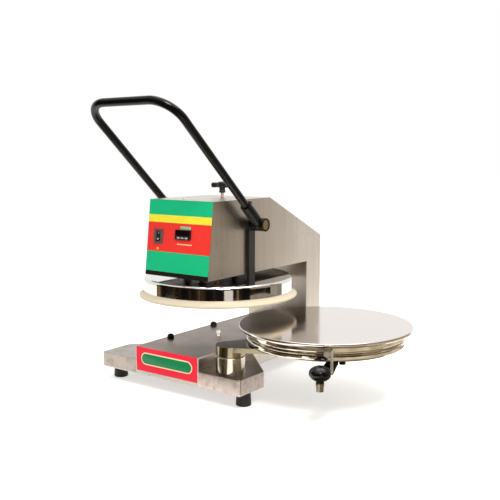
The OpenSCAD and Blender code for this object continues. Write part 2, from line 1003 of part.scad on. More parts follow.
module heater_terminals() {
  top = head_low - adjust - 3;
  nut_h = 5;
  color(bronze)
    place()
      for (side = [-1, 1])
        translate([-side * terminal_x, side * terminal_y, casting_top + heater_t]) {
          cylinder(h = top - casting_top - heater_t, d = terminal_d);
          translate([0, 0, cover_top + free_gap - casting_top - heater_t])
            cylinder(h = nut_h, d = terminal_d + 5, $fn = 6);
        }
}

link_bush_d = shaft_d + 6;
module link(x) {
  low = casting_top + free_gap;
  color(black)
    place()
      side_view(x, link_t)
        difference() {
          union() {
            translate([0, shaft_z])
              circle(d = hub_d);
            translate([-link_w / 2, low])
              square([link_w, shaft_z - low]);
          }
          translate([0, shaft_z])
            circle(d = link_bush_d + 2 * seat_gap);
        }
}

module link_right() {
  link(link_in);
}

module link_left() {
  link(-link_out);
}

module link_bushes() {
  color(bronze)
    place()
      for (x = [link_in, -link_out])
        side_view(x, link_t)
          translate([0, shaft_z])
            difference() {
              circle(d = link_bush_d);
              circle(d = shaft_d + 2 * run_gap);
            }
}

module guide_posts() {
  foot_t = 10;
  color(chrome)
    place()
      for (y = [-1, 1])
        translate([0, y * guide_off, 0])
          rotate_extrude()
            polygon([[0, casting_top], [guide_d, casting_top], [guide_d, casting_top + foot_t],
              [guide_d / 2, casting_top + foot_t], [guide_d / 2, guide_post_top - 1],
              [guide_d / 2 - 1, guide_post_top], [0, guide_post_top]]);
}

module spring_collars() {
  color(steel)
    place()
      for (y = [-1, 1])
        translate([0, y * guide_off, collar_low])
          difference() {
            cylinder(h = collar_t, d = spring_d + 3 * wire_d);
            translate([0, 0, -cut])
              cylinder(h = collar_t + 2 * cut, d = guide_d + 2 * seat_gap);
          }
}

// Lever: a bent tube held in two sockets, each on a hub of the cross shaft
module tube_ring() {
  difference() {
    circle(d = tube_d);
    circle(d = tube_d - 2 * tube_wall);
  }
}

tube_start = 34;
module lever_tube() {
  arm = lever_len - bend_r - tube_start;
  color(black)
    place()
      along_lever()
        for (side = [0, 1])
          mirror([side, 0, 0]) {
            translate([lever_x, tube_start, 0])
              rotate([-90, 0, 0])
                linear_extrude(arm)
                  tube_ring();
            translate([lever_x - bend_r, lever_len - bend_r, 0])
              rotate_extrude(angle = 90)
                translate([bend_r, 0])
                  tube_ring();
            translate([0, lever_len, 0])
              rotate([0, 90, 0])
                linear_extrude(lever_x - bend_r)
                  tube_ring();
          }
}

cap_d = hub_d - 9;
cap_t = 5;
bolt_in = 12;
bolt_shank_d = 5;
module hub() {
  color(black)
    place()
      along_lever()
        difference() {
          union() {
            bar_x(hub_in, hub_len, hub_d);
            translate([lever_x, 0, 0])
              rotate([-90, 0, 0])
                cylinder(h = socket_len, d = socket_d);
          }
          bar_x(hub_in - cut, hub_len - cap_t + cut, shaft_d + 2 * seat_gap);
          bar_x(hub_out - cap_t, cap_t + cut, cap_d + 2 * seat_gap);
          translate([lever_x, tube_start - 0.2, 0])
            rotate([-90, 0, 0])
              cylinder(h = socket_len, d = tube_d + 2 * seat_gap);
          translate([lever_x, socket_len - bolt_in, 0])
            rotate([180, 0, 0])
              cylinder(h = socket_d, d = bolt_shank_d + 2 * seat_gap);
        }
}

module hub_right() {
  hub();
}

module hub_left() {
  mirrored_x()
    hub();
}

// Mirrors a placed piece about the press's middle plane
module mirrored_x() {
  translate([-2 * part_mid[0], 0, 0])
    mirror([1, 0, 0])
      children();
}

module cross_shaft() {
  half = hub_out - cap_t;
  color(chrome)
    place()
      translate([0, 0, shaft_z])
        bar_x(-half, 2 * half, shaft_d);
}

// Cam: the inner parallel of an even spiral, so equal swings give equal travel
cam_lead = travel / lever_swing;
cam_gap = 0.3;
function pitch_r(swing) = cam_start + cam_lead * swing;
function cam_point(swing) =
  let (a = 90 - swing)
  let (r = pitch_r(swing))
  let (slope = -cam_lead * 180 / PI)
  let (inward = [-slope * sin(a) - r * cos(a), slope * cos(a) - r * sin(a)])
  r * [cos(a), sin(a)] + (nose_r + cam_gap) * inward / norm(inward);
cam_run = 8;
cam_steps = 28;
heel_from = 110;
heel_to = 320;
module cam_outline() {
  sweep = lever_swing + 2 * cam_run;
  spiral = [for (i = [0:cam_steps]) cam_point(lever_swing + cam_run - sweep * i / cam_steps)];
  heel = norm(spiral[cam_steps]);
  polygon(concat(spiral, arc([0, 0], heel, heel_from, heel_to, 14)));
}

module cams() {
  color([0.45, 0.45, 0.47])
    place()
      for (side = [-1, 1])
        side_view(side * cam_x - cam_t / 2, cam_t)
          translate([0, shaft_z])
            difference() {
              cam_outline();
              circle(d = shaft_d + 2 * seat_gap);
            }
}

module hub_caps() {
  color(bronze)
    place()
      for (x = [hub_out - cap_t, 1 - hub_out])
        translate([0, 0, shaft_z])
          bar_x(x, cap_t - 1, cap_d);
}

module socket_bolts() {
  head_d = 9;
  head_t = 5;
  shank_low = tube_d / 2 + 0.3;
  color(black)
    place()
      along_lever()
        for (side = [-1, 1])
          translate([side * lever_x, socket_len - bolt_in, 0])
            rotate([180, 0, 0]) {
              translate([0, 0, socket_d / 2])
                cylinder(h = head_t, d = head_d, $fn = 6);
              translate([0, 0, shank_low])
                cylinder(h = socket_d / 2 - shank_low + 1, d = bolt_shank_d);
            }
}

// Lower platen, its drum and the arm that swings them
module arm_plan() {
  root_r = 0.94 * post_d / 2;
  tip_r = 0.99 * arm_end_r;
  spread = acos((tip_r - root_r) / arm_len);
  ends = [for (side = [1, -1]) [cos(180 - spread), side * sin(180 - spread)]];
  translate([arm_len, 0])
    circle(r = arm_end_r);
  polygon([root_r * ends[0], root_r * ends[1], [arm_len, 0] + tip_r * ends[1], [arm_len, 0] + tip_r * ends[0]]);
}

bush_wall = 3;
module swing_arm() {
  pad_d = 60;
  color(steel)
    place()
      translate([pivot[0], pivot[1], 0])
        rotate([0, 0, open_angle])
          difference() {
            union() {
              translate([0, 0, boss_low])
                cylinder(h = boss_h, d = post_d);
              translate([0, 0, arm_low])
                linear_extrude(arm_t)
                  arm_plan();
              translate([arm_len, 0, arm_low - pad_h])
                cylinder(h = pad_h + cut, d = pad_d);
            }
            translate([0, 0, boss_low - cut])
              cylinder(h = pin_top + 1 - boss_low + cut, d = pin_d + 2 * bush_wall + 2 * seat_gap);
          }
}

module arm_bush() {
  low = post_top + run_gap;
  color(bronze)
    place()
      translate([pivot[0], pivot[1], 0])
        rotate_extrude()
          polygon([[pin_d / 2 + run_gap, low], [post_d / 2 - 2, low], [post_d / 2 - 2, low + washer_t],
            [pin_d / 2 + bush_wall, low + washer_t], [pin_d / 2 + bush_wall, pin_top],
            [pin_d / 2 + run_gap, pin_top]]);
}

drum_wall = 2;
module lower_platen() {
  r = platen_d / 2;
  hub_r = 70;
  low = arm_top + drum_wall;
  under = arm_top + drum_h;
  top_round = 2.5;
  low_round = plate_t - top_round - 1;
  color(chrome)
    place()
      at_lower()
        rotate_extrude($fn = 96)
          polygon(concat([[0, low], [hub_r, low], [hub_r, under]],
            arc([r - low_round, under + low_round], low_round, -90, 0, 6),
            arc([r - top_round, lower_face - top_round], top_round, 0, 90, 5), [[0, lower_face]]));
}

drum_groove = 9;
module platen_drum() {
  r = drum_d / 2;
  low_round = 7;
  ring_round = 5;
  groove = drum_groove;
  groove_w = 4;
  groove_low = drum_h * 0.46;
  groove_high = groove_low + groove_w;
  inside = r - groove - drum_wall;
  lower_ring = concat(arc([r - low_round, low_round], low_round, -90, 0, 6),
    arc([r - ring_round, groove_low - ring_round], ring_round, 0, 90, 5));
  neck = [[r - groove, groove_low], [r - groove, groove_high]];
  upper_ring = arc([r - ring_round, groove_high + ring_round], ring_round, -90, 0, 5);
  color(chrome)
    place()
      difference() {
        at_lower()
          translate([0, 0, arm_top])
            rotate_extrude($fn = 96)
              polygon(concat([[0, 0]], lower_ring, neck, upper_ring,
                [[r, drum_h], [inside, drum_h], [inside, drum_wall], [0, drum_wall]]));
        at_pull()
          side_bolt()
            translate([0, 0, inside - drum_wall])
              cylinder(h = r - inside + 2 * drum_wall, d = strap_bolt_d + 2 * seat_gap);
      }
}

// Pull handle: a slanted strap under the drum, turned out at its foot under a ball knob
pull_r = drum_d / 2 + pull_reach;
strap_t = 4;
strap_w = 30;
strap_end_w = 20;
strap_side = 26;
strap_in = drum_d / 2;
strap_flange = 32;
strap_back = strap_in - strap_flange;
strap_top = arm_top - seat_gap;
strap_drop = 39;
strap_low = strap_top - strap_drop;
strap_foot_h = 12;
strap_bolt_d = 8;
strap_bolt_in = 10;
pull_stud_d = 10;
module pull_bracket() {
  right = strap_side + strap_w / 2;
  left = strap_side - strap_w / 2;
  knee = (right + strap_side) / 2 - 4;
  color(black)
    place()
      at_pull()
        difference() {
          union() {
            translate([strap_back, left, strap_top - strap_t])
              cube([strap_in + strap_t - strap_back, strap_w, strap_t]);
            side_view(strap_in, strap_t)
              polygon([[-strap_end_w / 2, strap_low], [strap_end_w / 2, strap_low],
                [knee, strap_low + strap_foot_h], [right, strap_top], [left, strap_top],
                [-strap_end_w / 2, strap_low + strap_foot_h]]);
            translate([strap_in, -strap_end_w / 2, strap_low])
              cube([pull_r - strap_in, strap_end_w, strap_t]);
            translate([pull_r, 0, strap_low])
              cylinder(h = strap_t, d = strap_end_w);
          }
          translate([pull_r, 0, strap_low - cut])
            cylinder(h = strap_t + 2 * cut, d = pull_stud_d + 2 * seat_gap);
          translate([strap_back + strap_bolt_in, strap_side, strap_top - 2 * strap_t])
            cylinder(h = 3 * strap_t, d = strap_bolt_d + 2 * seat_gap);
        }
}

pull_low = strap_low + strap_t;
module pull_knob() {
  r = pull_d / 2;
  mid = pull_low + pull_h * 0.52;
  neck_r = 10;
  hole_h = pull_h * 0.5;
  upper = [for (a = [0:10:90]) [r * cos(a), mid + (pull_low + pull_h - mid) * sin(a)]];
  lower = [for (a = [-60:10:-10]) [r * cos(a), mid + (mid - pull_low) * sin(a)]];
  color(black)
    place()
      at_pull()
        translate([pull_r, 0, 0])
          difference() {
            rotate_extrude()
              polygon(concat([[0, pull_low], [neck_r, pull_low]], lower, upper));
            translate([0, 0, pull_low - cut])
              cylinder(h = hole_h + cut, d = pull_stud_d + 2 * seat_gap);
          }
}

// Bright pieces of the pull handle: the knob's stud and ferrule, the strap's bolt and upright rod,
// and the bolt in the drum's side
rod_d = 7;
side_bolt_turn = 3.9;
side_bolt_z = arm_top + drum_h * 0.58;
module pull_stud() {
  nut_h = 20;
  nut_d = 21;
  ring_h = 7;
  head_t = 6;
  washer_h = 2;
  rod_top = arm_top + drum_h * 0.85;
  rod_low = strap_low + strap_foot_h + strap_t;
  color(chrome)
    place()
      at_pull() {
        translate([pull_r, 0, strap_low - nut_h]) {
          cylinder(h = nut_h + strap_t + pull_h * 0.45, d = pull_stud_d);
          cylinder(h = nut_h - ring_h, d = nut_d - 3);
          translate([0, 0, nut_h - ring_h])
            cylinder(h = ring_h, d = nut_d);
        }
        translate([strap_back + strap_bolt_in, strap_side, strap_top - strap_t - head_t]) {
          cylinder(h = head_t, d = 2 * strap_bolt_d, $fn = 6);
          cylinder(h = head_t + strap_t, d = strap_bolt_d);
        }
        translate([strap_in + strap_t + rod_d / 2, strap_side, rod_low])
          cylinder(h = rod_top - rod_low, d = rod_d);
        side_bolt() {
          translate([0, 0, strap_in - drum_groove - drum_wall])
            cylinder(h = drum_groove + drum_wall + washer_h, d = strap_bolt_d);
          translate([0, 0, strap_in + seat_gap])
            cylinder(h = washer_h, d = 2.2 * strap_bolt_d);
          translate([0, 0, strap_in + seat_gap + washer_h])
            cylinder(h = head_t, d = 2 * strap_bolt_d, $fn = 6);
        }
      }
}

// Line of the bolt in the drum's side, with z pointing away from the platen's centre
module side_bolt() {
  rotate([0, 0, side_bolt_turn])
    translate([0, 0, side_bolt_z])
      rotate([0, 90, 0])
        children();
}

base_spine();
base_wing_left();
base_wing_right();
base_bottom_plate();
feet();
foot_screws();
base_label();
bumpers();
centre_stud();
pivot_post();
pivot_pin();
frame_plate_left();
frame_plate_right();
housing_left();
housing_right();
housing_wrap();
rear_cover();
column_cover();
head_underside();
control_panel();
panel_overlay();
switch_frame();
controller_body();
controller_window();
pilot_lamp();
cord_gland();
guide_plate();
guide_bushes();
bridge_plate();
return_springs();
power_rocker();
button_left();
button_middle();
button_right();
adjust_knob();
adjust_screw();
reaction_beam();
upper_platen();
platen_cover();
ring_heater();
heater_terminals();
link_left();
link_right();
link_bushes();
guide_posts();
spring_collars();
lever_tube();
hub_left();
hub_right();
cross_shaft();
cams();
hub_caps();
socket_bolts();
swing_arm();
arm_bush();
lower_platen();
platen_drum();
pull_bracket();
pull_knob();
pull_stud();
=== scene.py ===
"""Hand dough press with a swing-out lower platen, dressed around its CAD frame."""
import math

import bmesh
import bpy
from mathutils import Matrix, Vector


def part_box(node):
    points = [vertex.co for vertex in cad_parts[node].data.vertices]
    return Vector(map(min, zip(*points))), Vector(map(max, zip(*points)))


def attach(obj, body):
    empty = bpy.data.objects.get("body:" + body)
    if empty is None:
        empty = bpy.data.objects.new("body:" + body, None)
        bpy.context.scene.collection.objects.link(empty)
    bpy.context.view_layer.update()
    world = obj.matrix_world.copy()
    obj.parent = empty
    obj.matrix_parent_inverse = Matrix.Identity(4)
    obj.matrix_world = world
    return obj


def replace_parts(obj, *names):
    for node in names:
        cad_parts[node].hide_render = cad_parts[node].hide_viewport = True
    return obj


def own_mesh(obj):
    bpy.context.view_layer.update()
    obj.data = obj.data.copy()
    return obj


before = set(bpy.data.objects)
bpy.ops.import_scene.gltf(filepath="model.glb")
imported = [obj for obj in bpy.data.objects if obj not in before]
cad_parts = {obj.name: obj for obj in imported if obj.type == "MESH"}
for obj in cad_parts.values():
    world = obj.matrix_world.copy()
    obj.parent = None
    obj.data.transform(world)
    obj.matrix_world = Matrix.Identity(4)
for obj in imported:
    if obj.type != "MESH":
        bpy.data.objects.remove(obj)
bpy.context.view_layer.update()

scene = bpy.context.scene
MM = 0.001

# The press frame: millimetres, x and y from the axis of the upper platen, z from the floor
upper_low, upper_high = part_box("upper_platen")
AXIS_X = (upper_low[0] + upper_high[0]) / 2
AXIS_Y = (upper_low[1] + upper_high[1]) / 2


def press(x, y, z):
    """A point of the press frame, in millimetres, as a point of the part in metres."""
    return Vector((AXIS_X + x * MM, AXIS_Y + y * MM, z * MM))


def in_press(point):
    """A point of the part, in metres, as a point of the press frame in millimetres."""
    return (point[0] - AXIS_X) / MM, (point[1] - AXIS_Y) / MM, point[2] / MM


# Sizes of the solids that the dressing fits, in millimetres
X, Y, Z = 0, 1, 2
spine_low, spine_high = map(in_press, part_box("base_spine"))
label_low = in_press(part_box("base_label")[0])
side_low, side_high = map(in_press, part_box("housing_left"))
film_low, film_high = map(in_press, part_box("panel_overlay"))
BASE_FRONT = spine_low[Y]
HEAD_HALF_W = spine_high[X]
SPINE_TOP = spine_high[Z]
LABEL_FACE = label_low[Y]
LABEL_LOW = label_low[Z]
LABEL_T = BASE_FRONT - LABEL_FACE
HEAD_LOW = film_low[Z]
HEAD_TOP = side_high[Z]
PANEL_LOW_Y = side_low[Y]
PANEL_LEAN = math.atan2(film_high[Y] - PANEL_LOW_Y, HEAD_TOP - HEAD_LOW)
FILM_T = (PANEL_LOW_Y - film_low[Y]) / math.cos(PANEL_LEAN)
COLUMN_FRONT = in_press(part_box("column_cover")[0])[Y]
UPPER_FACE = upper_low[Z] / MM
UPPER_R = (upper_high[X] - upper_low[X]) / 2 / MM
DRUM_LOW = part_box("platen_drum")[0][Z] / MM
PULL_KNOB_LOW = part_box("pull_knob")[0][Z] / MM
platen_low, platen_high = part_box("lower_platen")
PLATEN_CENTRE = ((platen_low[X] + platen_high[X]) / 2, (platen_low[Y] + platen_high[Y]) / 2)


def linear(hex_colour):
    """An sRGB hex colour as linear RGBA."""
    parts = [int(hex_colour[i:i + 2], 16) / 255 for i in (0, 2, 4)]
    return [c / 12.92 if c <= 0.04045 else ((c + 0.055) / 1.055) ** 2.4 for c in parts] + [1.0]


def toned(hex_colour, factor):
    """A colour made darker or lighter, as linear RGBA."""
    return [min(c * factor, 1.0) for c in linear(hex_colour)[:3]] + [1.0]


def add(tree, kind, inputs=None, out=0, **settings):
    """Adds a node with its settings, sets or links its inputs, and hands back one of its outputs."""
    made = tree.nodes.new(kind)
    for name, value in settings.items():
        setattr(made, name, value)
    for name, value in (inputs or {}).items():
        if isinstance(value, bpy.types.NodeSocket):
            tree.links.new(value, made.inputs[name])
        else:
            made.inputs[name].default_value = value
    return made.outputs[out] if made.outputs else None


def set_stops(colour_ramp, stops):
    """Sets the stops of a colour ramp, given as (place, colour)."""
    for i, (at, colour) in enumerate(stops):
        stop = colour_ramp.elements[i] if i < len(colour_ramp.elements) else colour_ramp.elements.new(at)
        stop.position = at
        stop.color = linear(colour)


def start(name):
    """A new material with an empty node tree."""
    material = bpy.data.materials.new(name)
    material.use_nodes = True
    material.node_tree.nodes.clear()
    return material, material.node_tree


def close(material, tree, shader):
    """Joins a shader to the material's output and hands the material back."""
    add(tree, "ShaderNodeOutputMaterial", {"Surface": shader})
    return material


def scale_of(size_mm):
    """Scale of a pattern whose patches have a real size."""
    return 1 / (size_mm * MM)


# Noise seldom leaves this range
NOISE_LOW, NOISE_HIGH = 0.3, 0.7
# Colours painted on sheet: a pale painted highlight along bends, and brown scuffs of use
BEND_HIGHLIGHT_PALE = "F6F0E6"
SCUFF_BROWN = "6E5A50"


def brushed_sheet(name, colour, grain, rough=0.30, scuffs=0.0, bend_mm=0.8, lit_side_colour=None):
    """Stainless sheet, belt-brushed: parallel streaks along the grain and a soft reflection that is a little
    clearer where hands have wiped it. Real scratches are about 0.1 mm wide, too fine to show, so the streaks
    are drawn from the belt's 9 mm tracks down to about 0.3 mm. Scuffs are the brownish marks of use, up to
    the given share of the colour. Bends, of the given radius, carry a pale painted highlight. Upright sides
    can have a paler colour of their own, which is painted light."""
    track_mm, run_mm, scuff_mm, wiped_mm, depth_mm = 9.0, 260.0, 22.0, 90.0, 0.03
    dark, light = 0.80, 1.18
    scuff_from, scuff_full = 0.48, 0.72
    clearer, duller = rough - 0.03, rough + 0.05
    bend_from, bend_full, highlight_share = 0.995, 0.90, 0.95
    material, tree = start(name)
    place = add(tree, "ShaderNodeTexCoord", out="Object")
    face = add(tree, "ShaderNodeNewGeometry", out="Normal")
    steps = [scale_of(track_mm)] * 3
    steps["xyz".index(grain)] = scale_of(run_mm)
    run = add(tree, "ShaderNodeMapping", {"Vector": place, "Scale": steps})
    streaks = add(tree, "ShaderNodeTexNoise", {"Vector": run, "Scale": 1.0, "Detail": 5.0,
                                               "Roughness": 0.62})

    def streaked(base):
        """The streaks in darker and lighter tones of a colour."""
        tones = {"Factor": streaks, "A": toned(base, dark), "B": toned(base, light)}
        return add(tree, "ShaderNodeMix", tones, "Result", data_type="RGBA")

    tone = streaked(colour)
    # Painted light: upright faces take a paler colour of their own, mixed in by how level the face is
    if lit_side_colour:
        rise = add(tree, "ShaderNodeSeparateXYZ", {0: face}, "Z")
        level = add(tree, "ShaderNodeMath", {0: rise}, operation="ABSOLUTE")
        tone = add(tree, "ShaderNodeMix", {"Factor": level, "A": streaked(lit_side_colour), "B": tone},
                   "Result", data_type="RGBA")
    if scuffs:
        marks = add(tree, "ShaderNodeTexNoise", {"Vector": place, "Scale": scale_of(scuff_mm),
                                                 "Detail": 5.0, "Roughness": 0.7})
        share = add(tree, "ShaderNodeMapRange", {"Value": marks, "From Min": scuff_from,
                                                 "From Max": scuff_full, "To Max": scuffs})
        tone = add(tree, "ShaderNodeMix", {"Factor": share, "A": tone, "B": linear(SCUFF_BROWN)},
                   "Result", data_type="RGBA")
    wiped = add(tree, "ShaderNodeTexNoise", {"Vector": place, "Scale": scale_of(wiped_mm), "Detail": 2.0})
    smear = add(tree, "ShaderNodeMapRange", {"Value": wiped, "From Min": NOISE_LOW, "From Max": NOISE_HIGH,
                                             "To Min": clearer, "To Max": duller})
    # Painted highlight: where the rounded normal turns away from the face, the tone is mixed towards a pale
    # colour
    edge = add(tree, "ShaderNodeBevel", {"Radius": bend_mm * MM}, samples=8)
    turn = add(tree, "ShaderNodeVectorMath", {0: edge, 1: face}, "Value", operation="DOT_PRODUCT")
    bend_highlight = add(tree, "ShaderNodeMapRange", {"Value": turn, "From Min": bend_from, "From Max": bend_full,
                                              "To Max": highlight_share})
    tone = add(tree, "ShaderNodeMix", {"Factor": bend_highlight, "A": tone, "B": linear(BEND_HIGHLIGHT_PALE)},
               "Result", data_type="RGBA")
    normal = add(tree, "ShaderNodeBump", {"Strength": 0.15, "Distance": depth_mm * MM, "Height": streaks,
                                          "Normal": edge})
    shader = add(tree, "ShaderNodeBsdfPrincipled", {"Base Color": tone, "Metallic": 1.0, "Roughness": smear,
                                                    "Normal": normal})
    return close(material, tree, shader)


def turned_metal(name, colour, rough, centre=(0.0, 0.0), ring_mm=0.8, ring_strength=0.05, upper=None):
    """Plated or polished metal, buffed while it turned: a clear reflection that the buffing rings about the
    centre soften a little, and wiped patches. Real rings are finer than 0.1 mm, too fine to show, so they
    are drawn about 1 mm wide. What stands above a height can have a plating of its own, given as (height in
    mm, colour, roughness)."""
    wiped_mm, wiped_from, edge_mm, depth_mm = 60.0, 0.35, 0.5, 0.02
    clearer, duller = rough * 0.8, rough * 1.5
    ring_dark = 0.94
    material, tree = start(name)
    place = add(tree, "ShaderNodeTexCoord", out="Object")
    shift = (-centre[0], -centre[1], 0.0)
    moved = add(tree, "ShaderNodeVectorMath", {0: place, 1: shift}, operation="ADD")
    flat = add(tree, "ShaderNodeVectorMath", {0: moved, 1: (1.0, 1.0, 0.0)}, operation="MULTIPLY")
    radius = add(tree, "ShaderNodeVectorMath", {0: flat}, "Value", operation="LENGTH")
    turn = add(tree, "ShaderNodeMath", {0: radius, 1: scale_of(ring_mm)}, operation="MULTIPLY")
    rings = add(tree, "ShaderNodeTexNoise", {"W": turn, "Scale": 1.0, "Detail": 2.0}, noise_dimensions="1D")
    wiped = add(tree, "ShaderNodeTexNoise", {"Vector": place, "Scale": scale_of(wiped_mm), "Detail": 3.0})
    smear = add(tree, "ShaderNodeMapRange", {"Value": wiped, "From Min": wiped_from, "From Max": NOISE_HIGH,
                                             "To Min": clearer, "To Max": duller})
    tone = add(tree, "ShaderNodeMix", {"Factor": rings, "A": toned(colour, ring_dark), "B": linear(colour)},
               "Result", data_type="RGBA")
    if upper:
        from_mm, upper_colour, upper_rough = upper
        height = add(tree, "ShaderNodeSeparateXYZ", {0: place}, "Z")
        above = add(tree, "ShaderNodeMath", {0: height, 1: from_mm * MM}, operation="GREATER_THAN")
        tone = add(tree, "ShaderNodeMix", {"Factor": above, "A": tone, "B": linear(upper_colour)},
                   "Result", data_type="RGBA")
        smear = add(tree, "ShaderNodeMix", {"Factor": above, "A": smear, "B": upper_rough}, "Result")
    edge = add(tree, "ShaderNodeBevel", {"Radius": edge_mm * MM}, samples=4)
    normal = add(tree, "ShaderNodeBump", {"Strength": ring_strength, "Distance": depth_mm * MM,
                                          "Height": rings, "Normal": edge})
    shader = add(tree, "ShaderNodeBsdfPrincipled", {"Base Color": tone, "Metallic": 1.0, "Roughness": smear,
                                                    "Normal": normal})
    return close(material, tree, shader)


def ground_plate(name, shaded_flat_colour, lit_side_colour):
    """Thick steel plate: its flat faces are ground dull, with streaks along their length that are drawn 2 mm
    wide to show, and its sides are turned, so that they carry clear upright highlights. The flat faces are
    given a darker colour, which is painted shade, and the sides a paler one, which is painted light."""
    width_mm, length_mm, edge_mm, depth_mm = 2.0, 60.0, 0.8, 0.03
    side_rough, flat_rough = 0.13, 0.19
    upright, level = 0.6, 0.9
    streak_dark = 0.8
    material, tree = start(name)
    place = add(tree, "ShaderNodeTexCoord", out="Object")
    steps = [scale_of(size) for size in (length_mm, width_mm, width_mm)]
    run = add(tree, "ShaderNodeMapping", {"Vector": place, "Scale": steps})
    streaks = add(tree, "ShaderNodeTexNoise", {"Vector": run, "Scale": 1.0, "Detail": 4.0})
    ground = add(tree, "ShaderNodeMix", {"Factor": streaks, "A": toned(shaded_flat_colour, streak_dark),
                                         "B": linear(shaded_flat_colour)}, "Result", data_type="RGBA")
    face = add(tree, "ShaderNodeNewGeometry", out="Normal")
    rise = add(tree, "ShaderNodeSeparateXYZ", {0: face}, "Z")
    slope = add(tree, "ShaderNodeMath", {0: rise}, operation="ABSOLUTE")
    flat = add(tree, "ShaderNodeMapRange", {"Value": slope, "From Min": upright, "From Max": level})
    # Painted shade and light: flat faces take the darker colour and upright sides the paler one
    tone = add(tree, "ShaderNodeMix", {"Factor": flat, "A": linear(lit_side_colour), "B": ground},
               "Result", data_type="RGBA")
    smear = add(tree, "ShaderNodeMapRange", {"Value": flat, "To Min": side_rough, "To Max": flat_rough})
    edge = add(tree, "ShaderNodeBevel", {"Radius": edge_mm * MM}, samples=4)
    normal = add(tree, "ShaderNodeBump", {"Strength": 0.1, "Distance": depth_mm * MM, "Height": streaks,
                                          "Normal": edge})
    shader = add(tree, "ShaderNodeBsdfPrincipled", {"Base Color": tone, "Metallic": 1.0, "Roughness": smear,
                                                    "Normal": normal})
    return close(material, tree, shader)


def coated(name, colour, rough, ior, peel_mm, peel, patch=0.12, coat=0.0, gloss=0.5, edge_mm=0.6):
    """Paint, rubber, film or moulded plastic: one colour with slow patches in it, and a fine surface
    texture of the given grain size and strength that breaks up the highlight. The real grain of enamel and
    mouldings is about 0.2 mm, too fine to show, so it is drawn from 0.6 mm up."""
    patch_mm, depth_mm = 45.0, 0.1
    clearer, duller = rough * 0.85, rough * 1.15
    darker, lighter = toned(colour, 1 - patch), toned(colour, 1 + patch)
    material, tree = start(name)
    place = add(tree, "ShaderNodeTexCoord", out="Object")
    slow = add(tree, "ShaderNodeTexNoise", {"Vector": place, "Scale": scale_of(patch_mm), "Detail": 3.0})
    tone = add(tree, "ShaderNodeMix", {"Factor": slow, "A": darker, "B": lighter},
               "Result", data_type="RGBA")
    smear = add(tree, "ShaderNodeMapRange", {"Value": slow, "From Min": NOISE_LOW, "From Max": NOISE_HIGH,
                                             "To Min": clearer, "To Max": duller})
    grain = add(tree, "ShaderNodeTexNoise", {"Vector": place, "Scale": scale_of(peel_mm), "Detail": 2.0})
    edge = add(tree, "ShaderNodeBevel", {"Radius": edge_mm * MM}, samples=4)
    normal = add(tree, "ShaderNodeBump", {"Strength": peel, "Distance": depth_mm * MM, "Height": grain,
                                          "Normal": edge})
    shader = add(tree, "ShaderNodeBsdfPrincipled", {"Base Color": tone, "Roughness": smear, "IOR": ior,
                                                    "Specular IOR Level": gloss, "Coat Weight": coat,
                                                    "Normal": normal})
    return close(material, tree, shader)


FILM_IOR = 1.57
FILM_GLOSS = 0.2


def printed_film(name, colour, rough=0.38, gloss=0.5):
    """Printed polyester film in one colour: an even, half-matt tone with a faint pebble."""
    return coated(name, colour, rough, FILM_IOR, peel_mm=1.5, peel=0.04, patch=0.03, gloss=gloss)


def banded_film(name, bands, low_mm, high_mm):
    """Printed polyester film over the control panel: plain bands, with a faint pebble that keeps the
    reflection soft and is drawn 1.5 mm wide to show. Bands are (height share from the bottom, colour)."""
    pebble_mm, depth_mm = 1.5, 0.05
    clearer, duller = 0.34, 0.44
    material, tree = start(name)
    place = add(tree, "ShaderNodeTexCoord", out="Object")
    height = add(tree, "ShaderNodeSeparateXYZ", {0: place}, "Z")
    share = add(tree, "ShaderNodeMapRange", {"Value": height, "From Min": low_mm * MM,
                                             "From Max": high_mm * MM})
    tone = add(tree, "ShaderNodeValToRGB", {0: share})
    tone.node.color_ramp.interpolation = "CONSTANT"
    set_stops(tone.node.color_ramp, bands)
    pebble = add(tree, "ShaderNodeTexNoise", {"Vector": place, "Scale": scale_of(pebble_mm), "Detail": 1.0})
    smear = add(tree, "ShaderNodeMapRange", {"Value": pebble, "From Min": NOISE_LOW, "From Max": NOISE_HIGH,
                                             "To Min": clearer, "To Max": duller})
    normal = add(tree, "ShaderNodeBump", {"Strength": 0.05, "Distance": depth_mm * MM, "Height": pebble})
    shader = add(tree, "ShaderNodeBsdfPrincipled", {"Base Color": tone, "Roughness": smear, "IOR": FILM_IOR,
                                                    "Specular IOR Level": FILM_GLOSS, "Normal": normal})
    return close(material, tree, shader)


# Sheet: grey-beige with soft streaks, browner on the base, where flour and hands have marked it
STEEL, SPINE_STEEL, WING_STEEL = "CABFB2", "8A7B6C", "AFA59C"
BASE_BEND = 1.9
side_steel = brushed_sheet("stainless_sheet_brushed_upright", STEEL, "z")
roof_steel = brushed_sheet("stainless_sheet_brushed_front_to_back", STEEL, "y")
# Painted light: the upright sides of the spine and of the right wing are paler than their flat faces
spine_steel = brushed_sheet("stainless_base_brushed_front_to_back", SPINE_STEEL, "y", scuffs=0.25,
                            bend_mm=BASE_BEND, lit_side_colour="C6C0B6")
wing_steel = brushed_sheet("stainless_base_brushed_upright", WING_STEEL, "z", scuffs=0.5, bend_mm=BASE_BEND)
right_wing_steel = brushed_sheet("stainless_base_brushed_upright_painted_light", WING_STEEL, "z", scuffs=0.5,
                                 bend_mm=BASE_BEND, lit_side_colour="DDCEC5")
# Bends: pale strips of painted highlight, rough enough to catch light from all round
bend_highlight_steel = brushed_sheet("stainless_bend_painted_highlight", BEND_HIGHLIGHT_PALE, "y", rough=0.70)
# Hidden tool steel: cool grey with a straight grind
ground_steel = brushed_sheet("tool_steel_ground", "85858A", "x", rough=0.28)

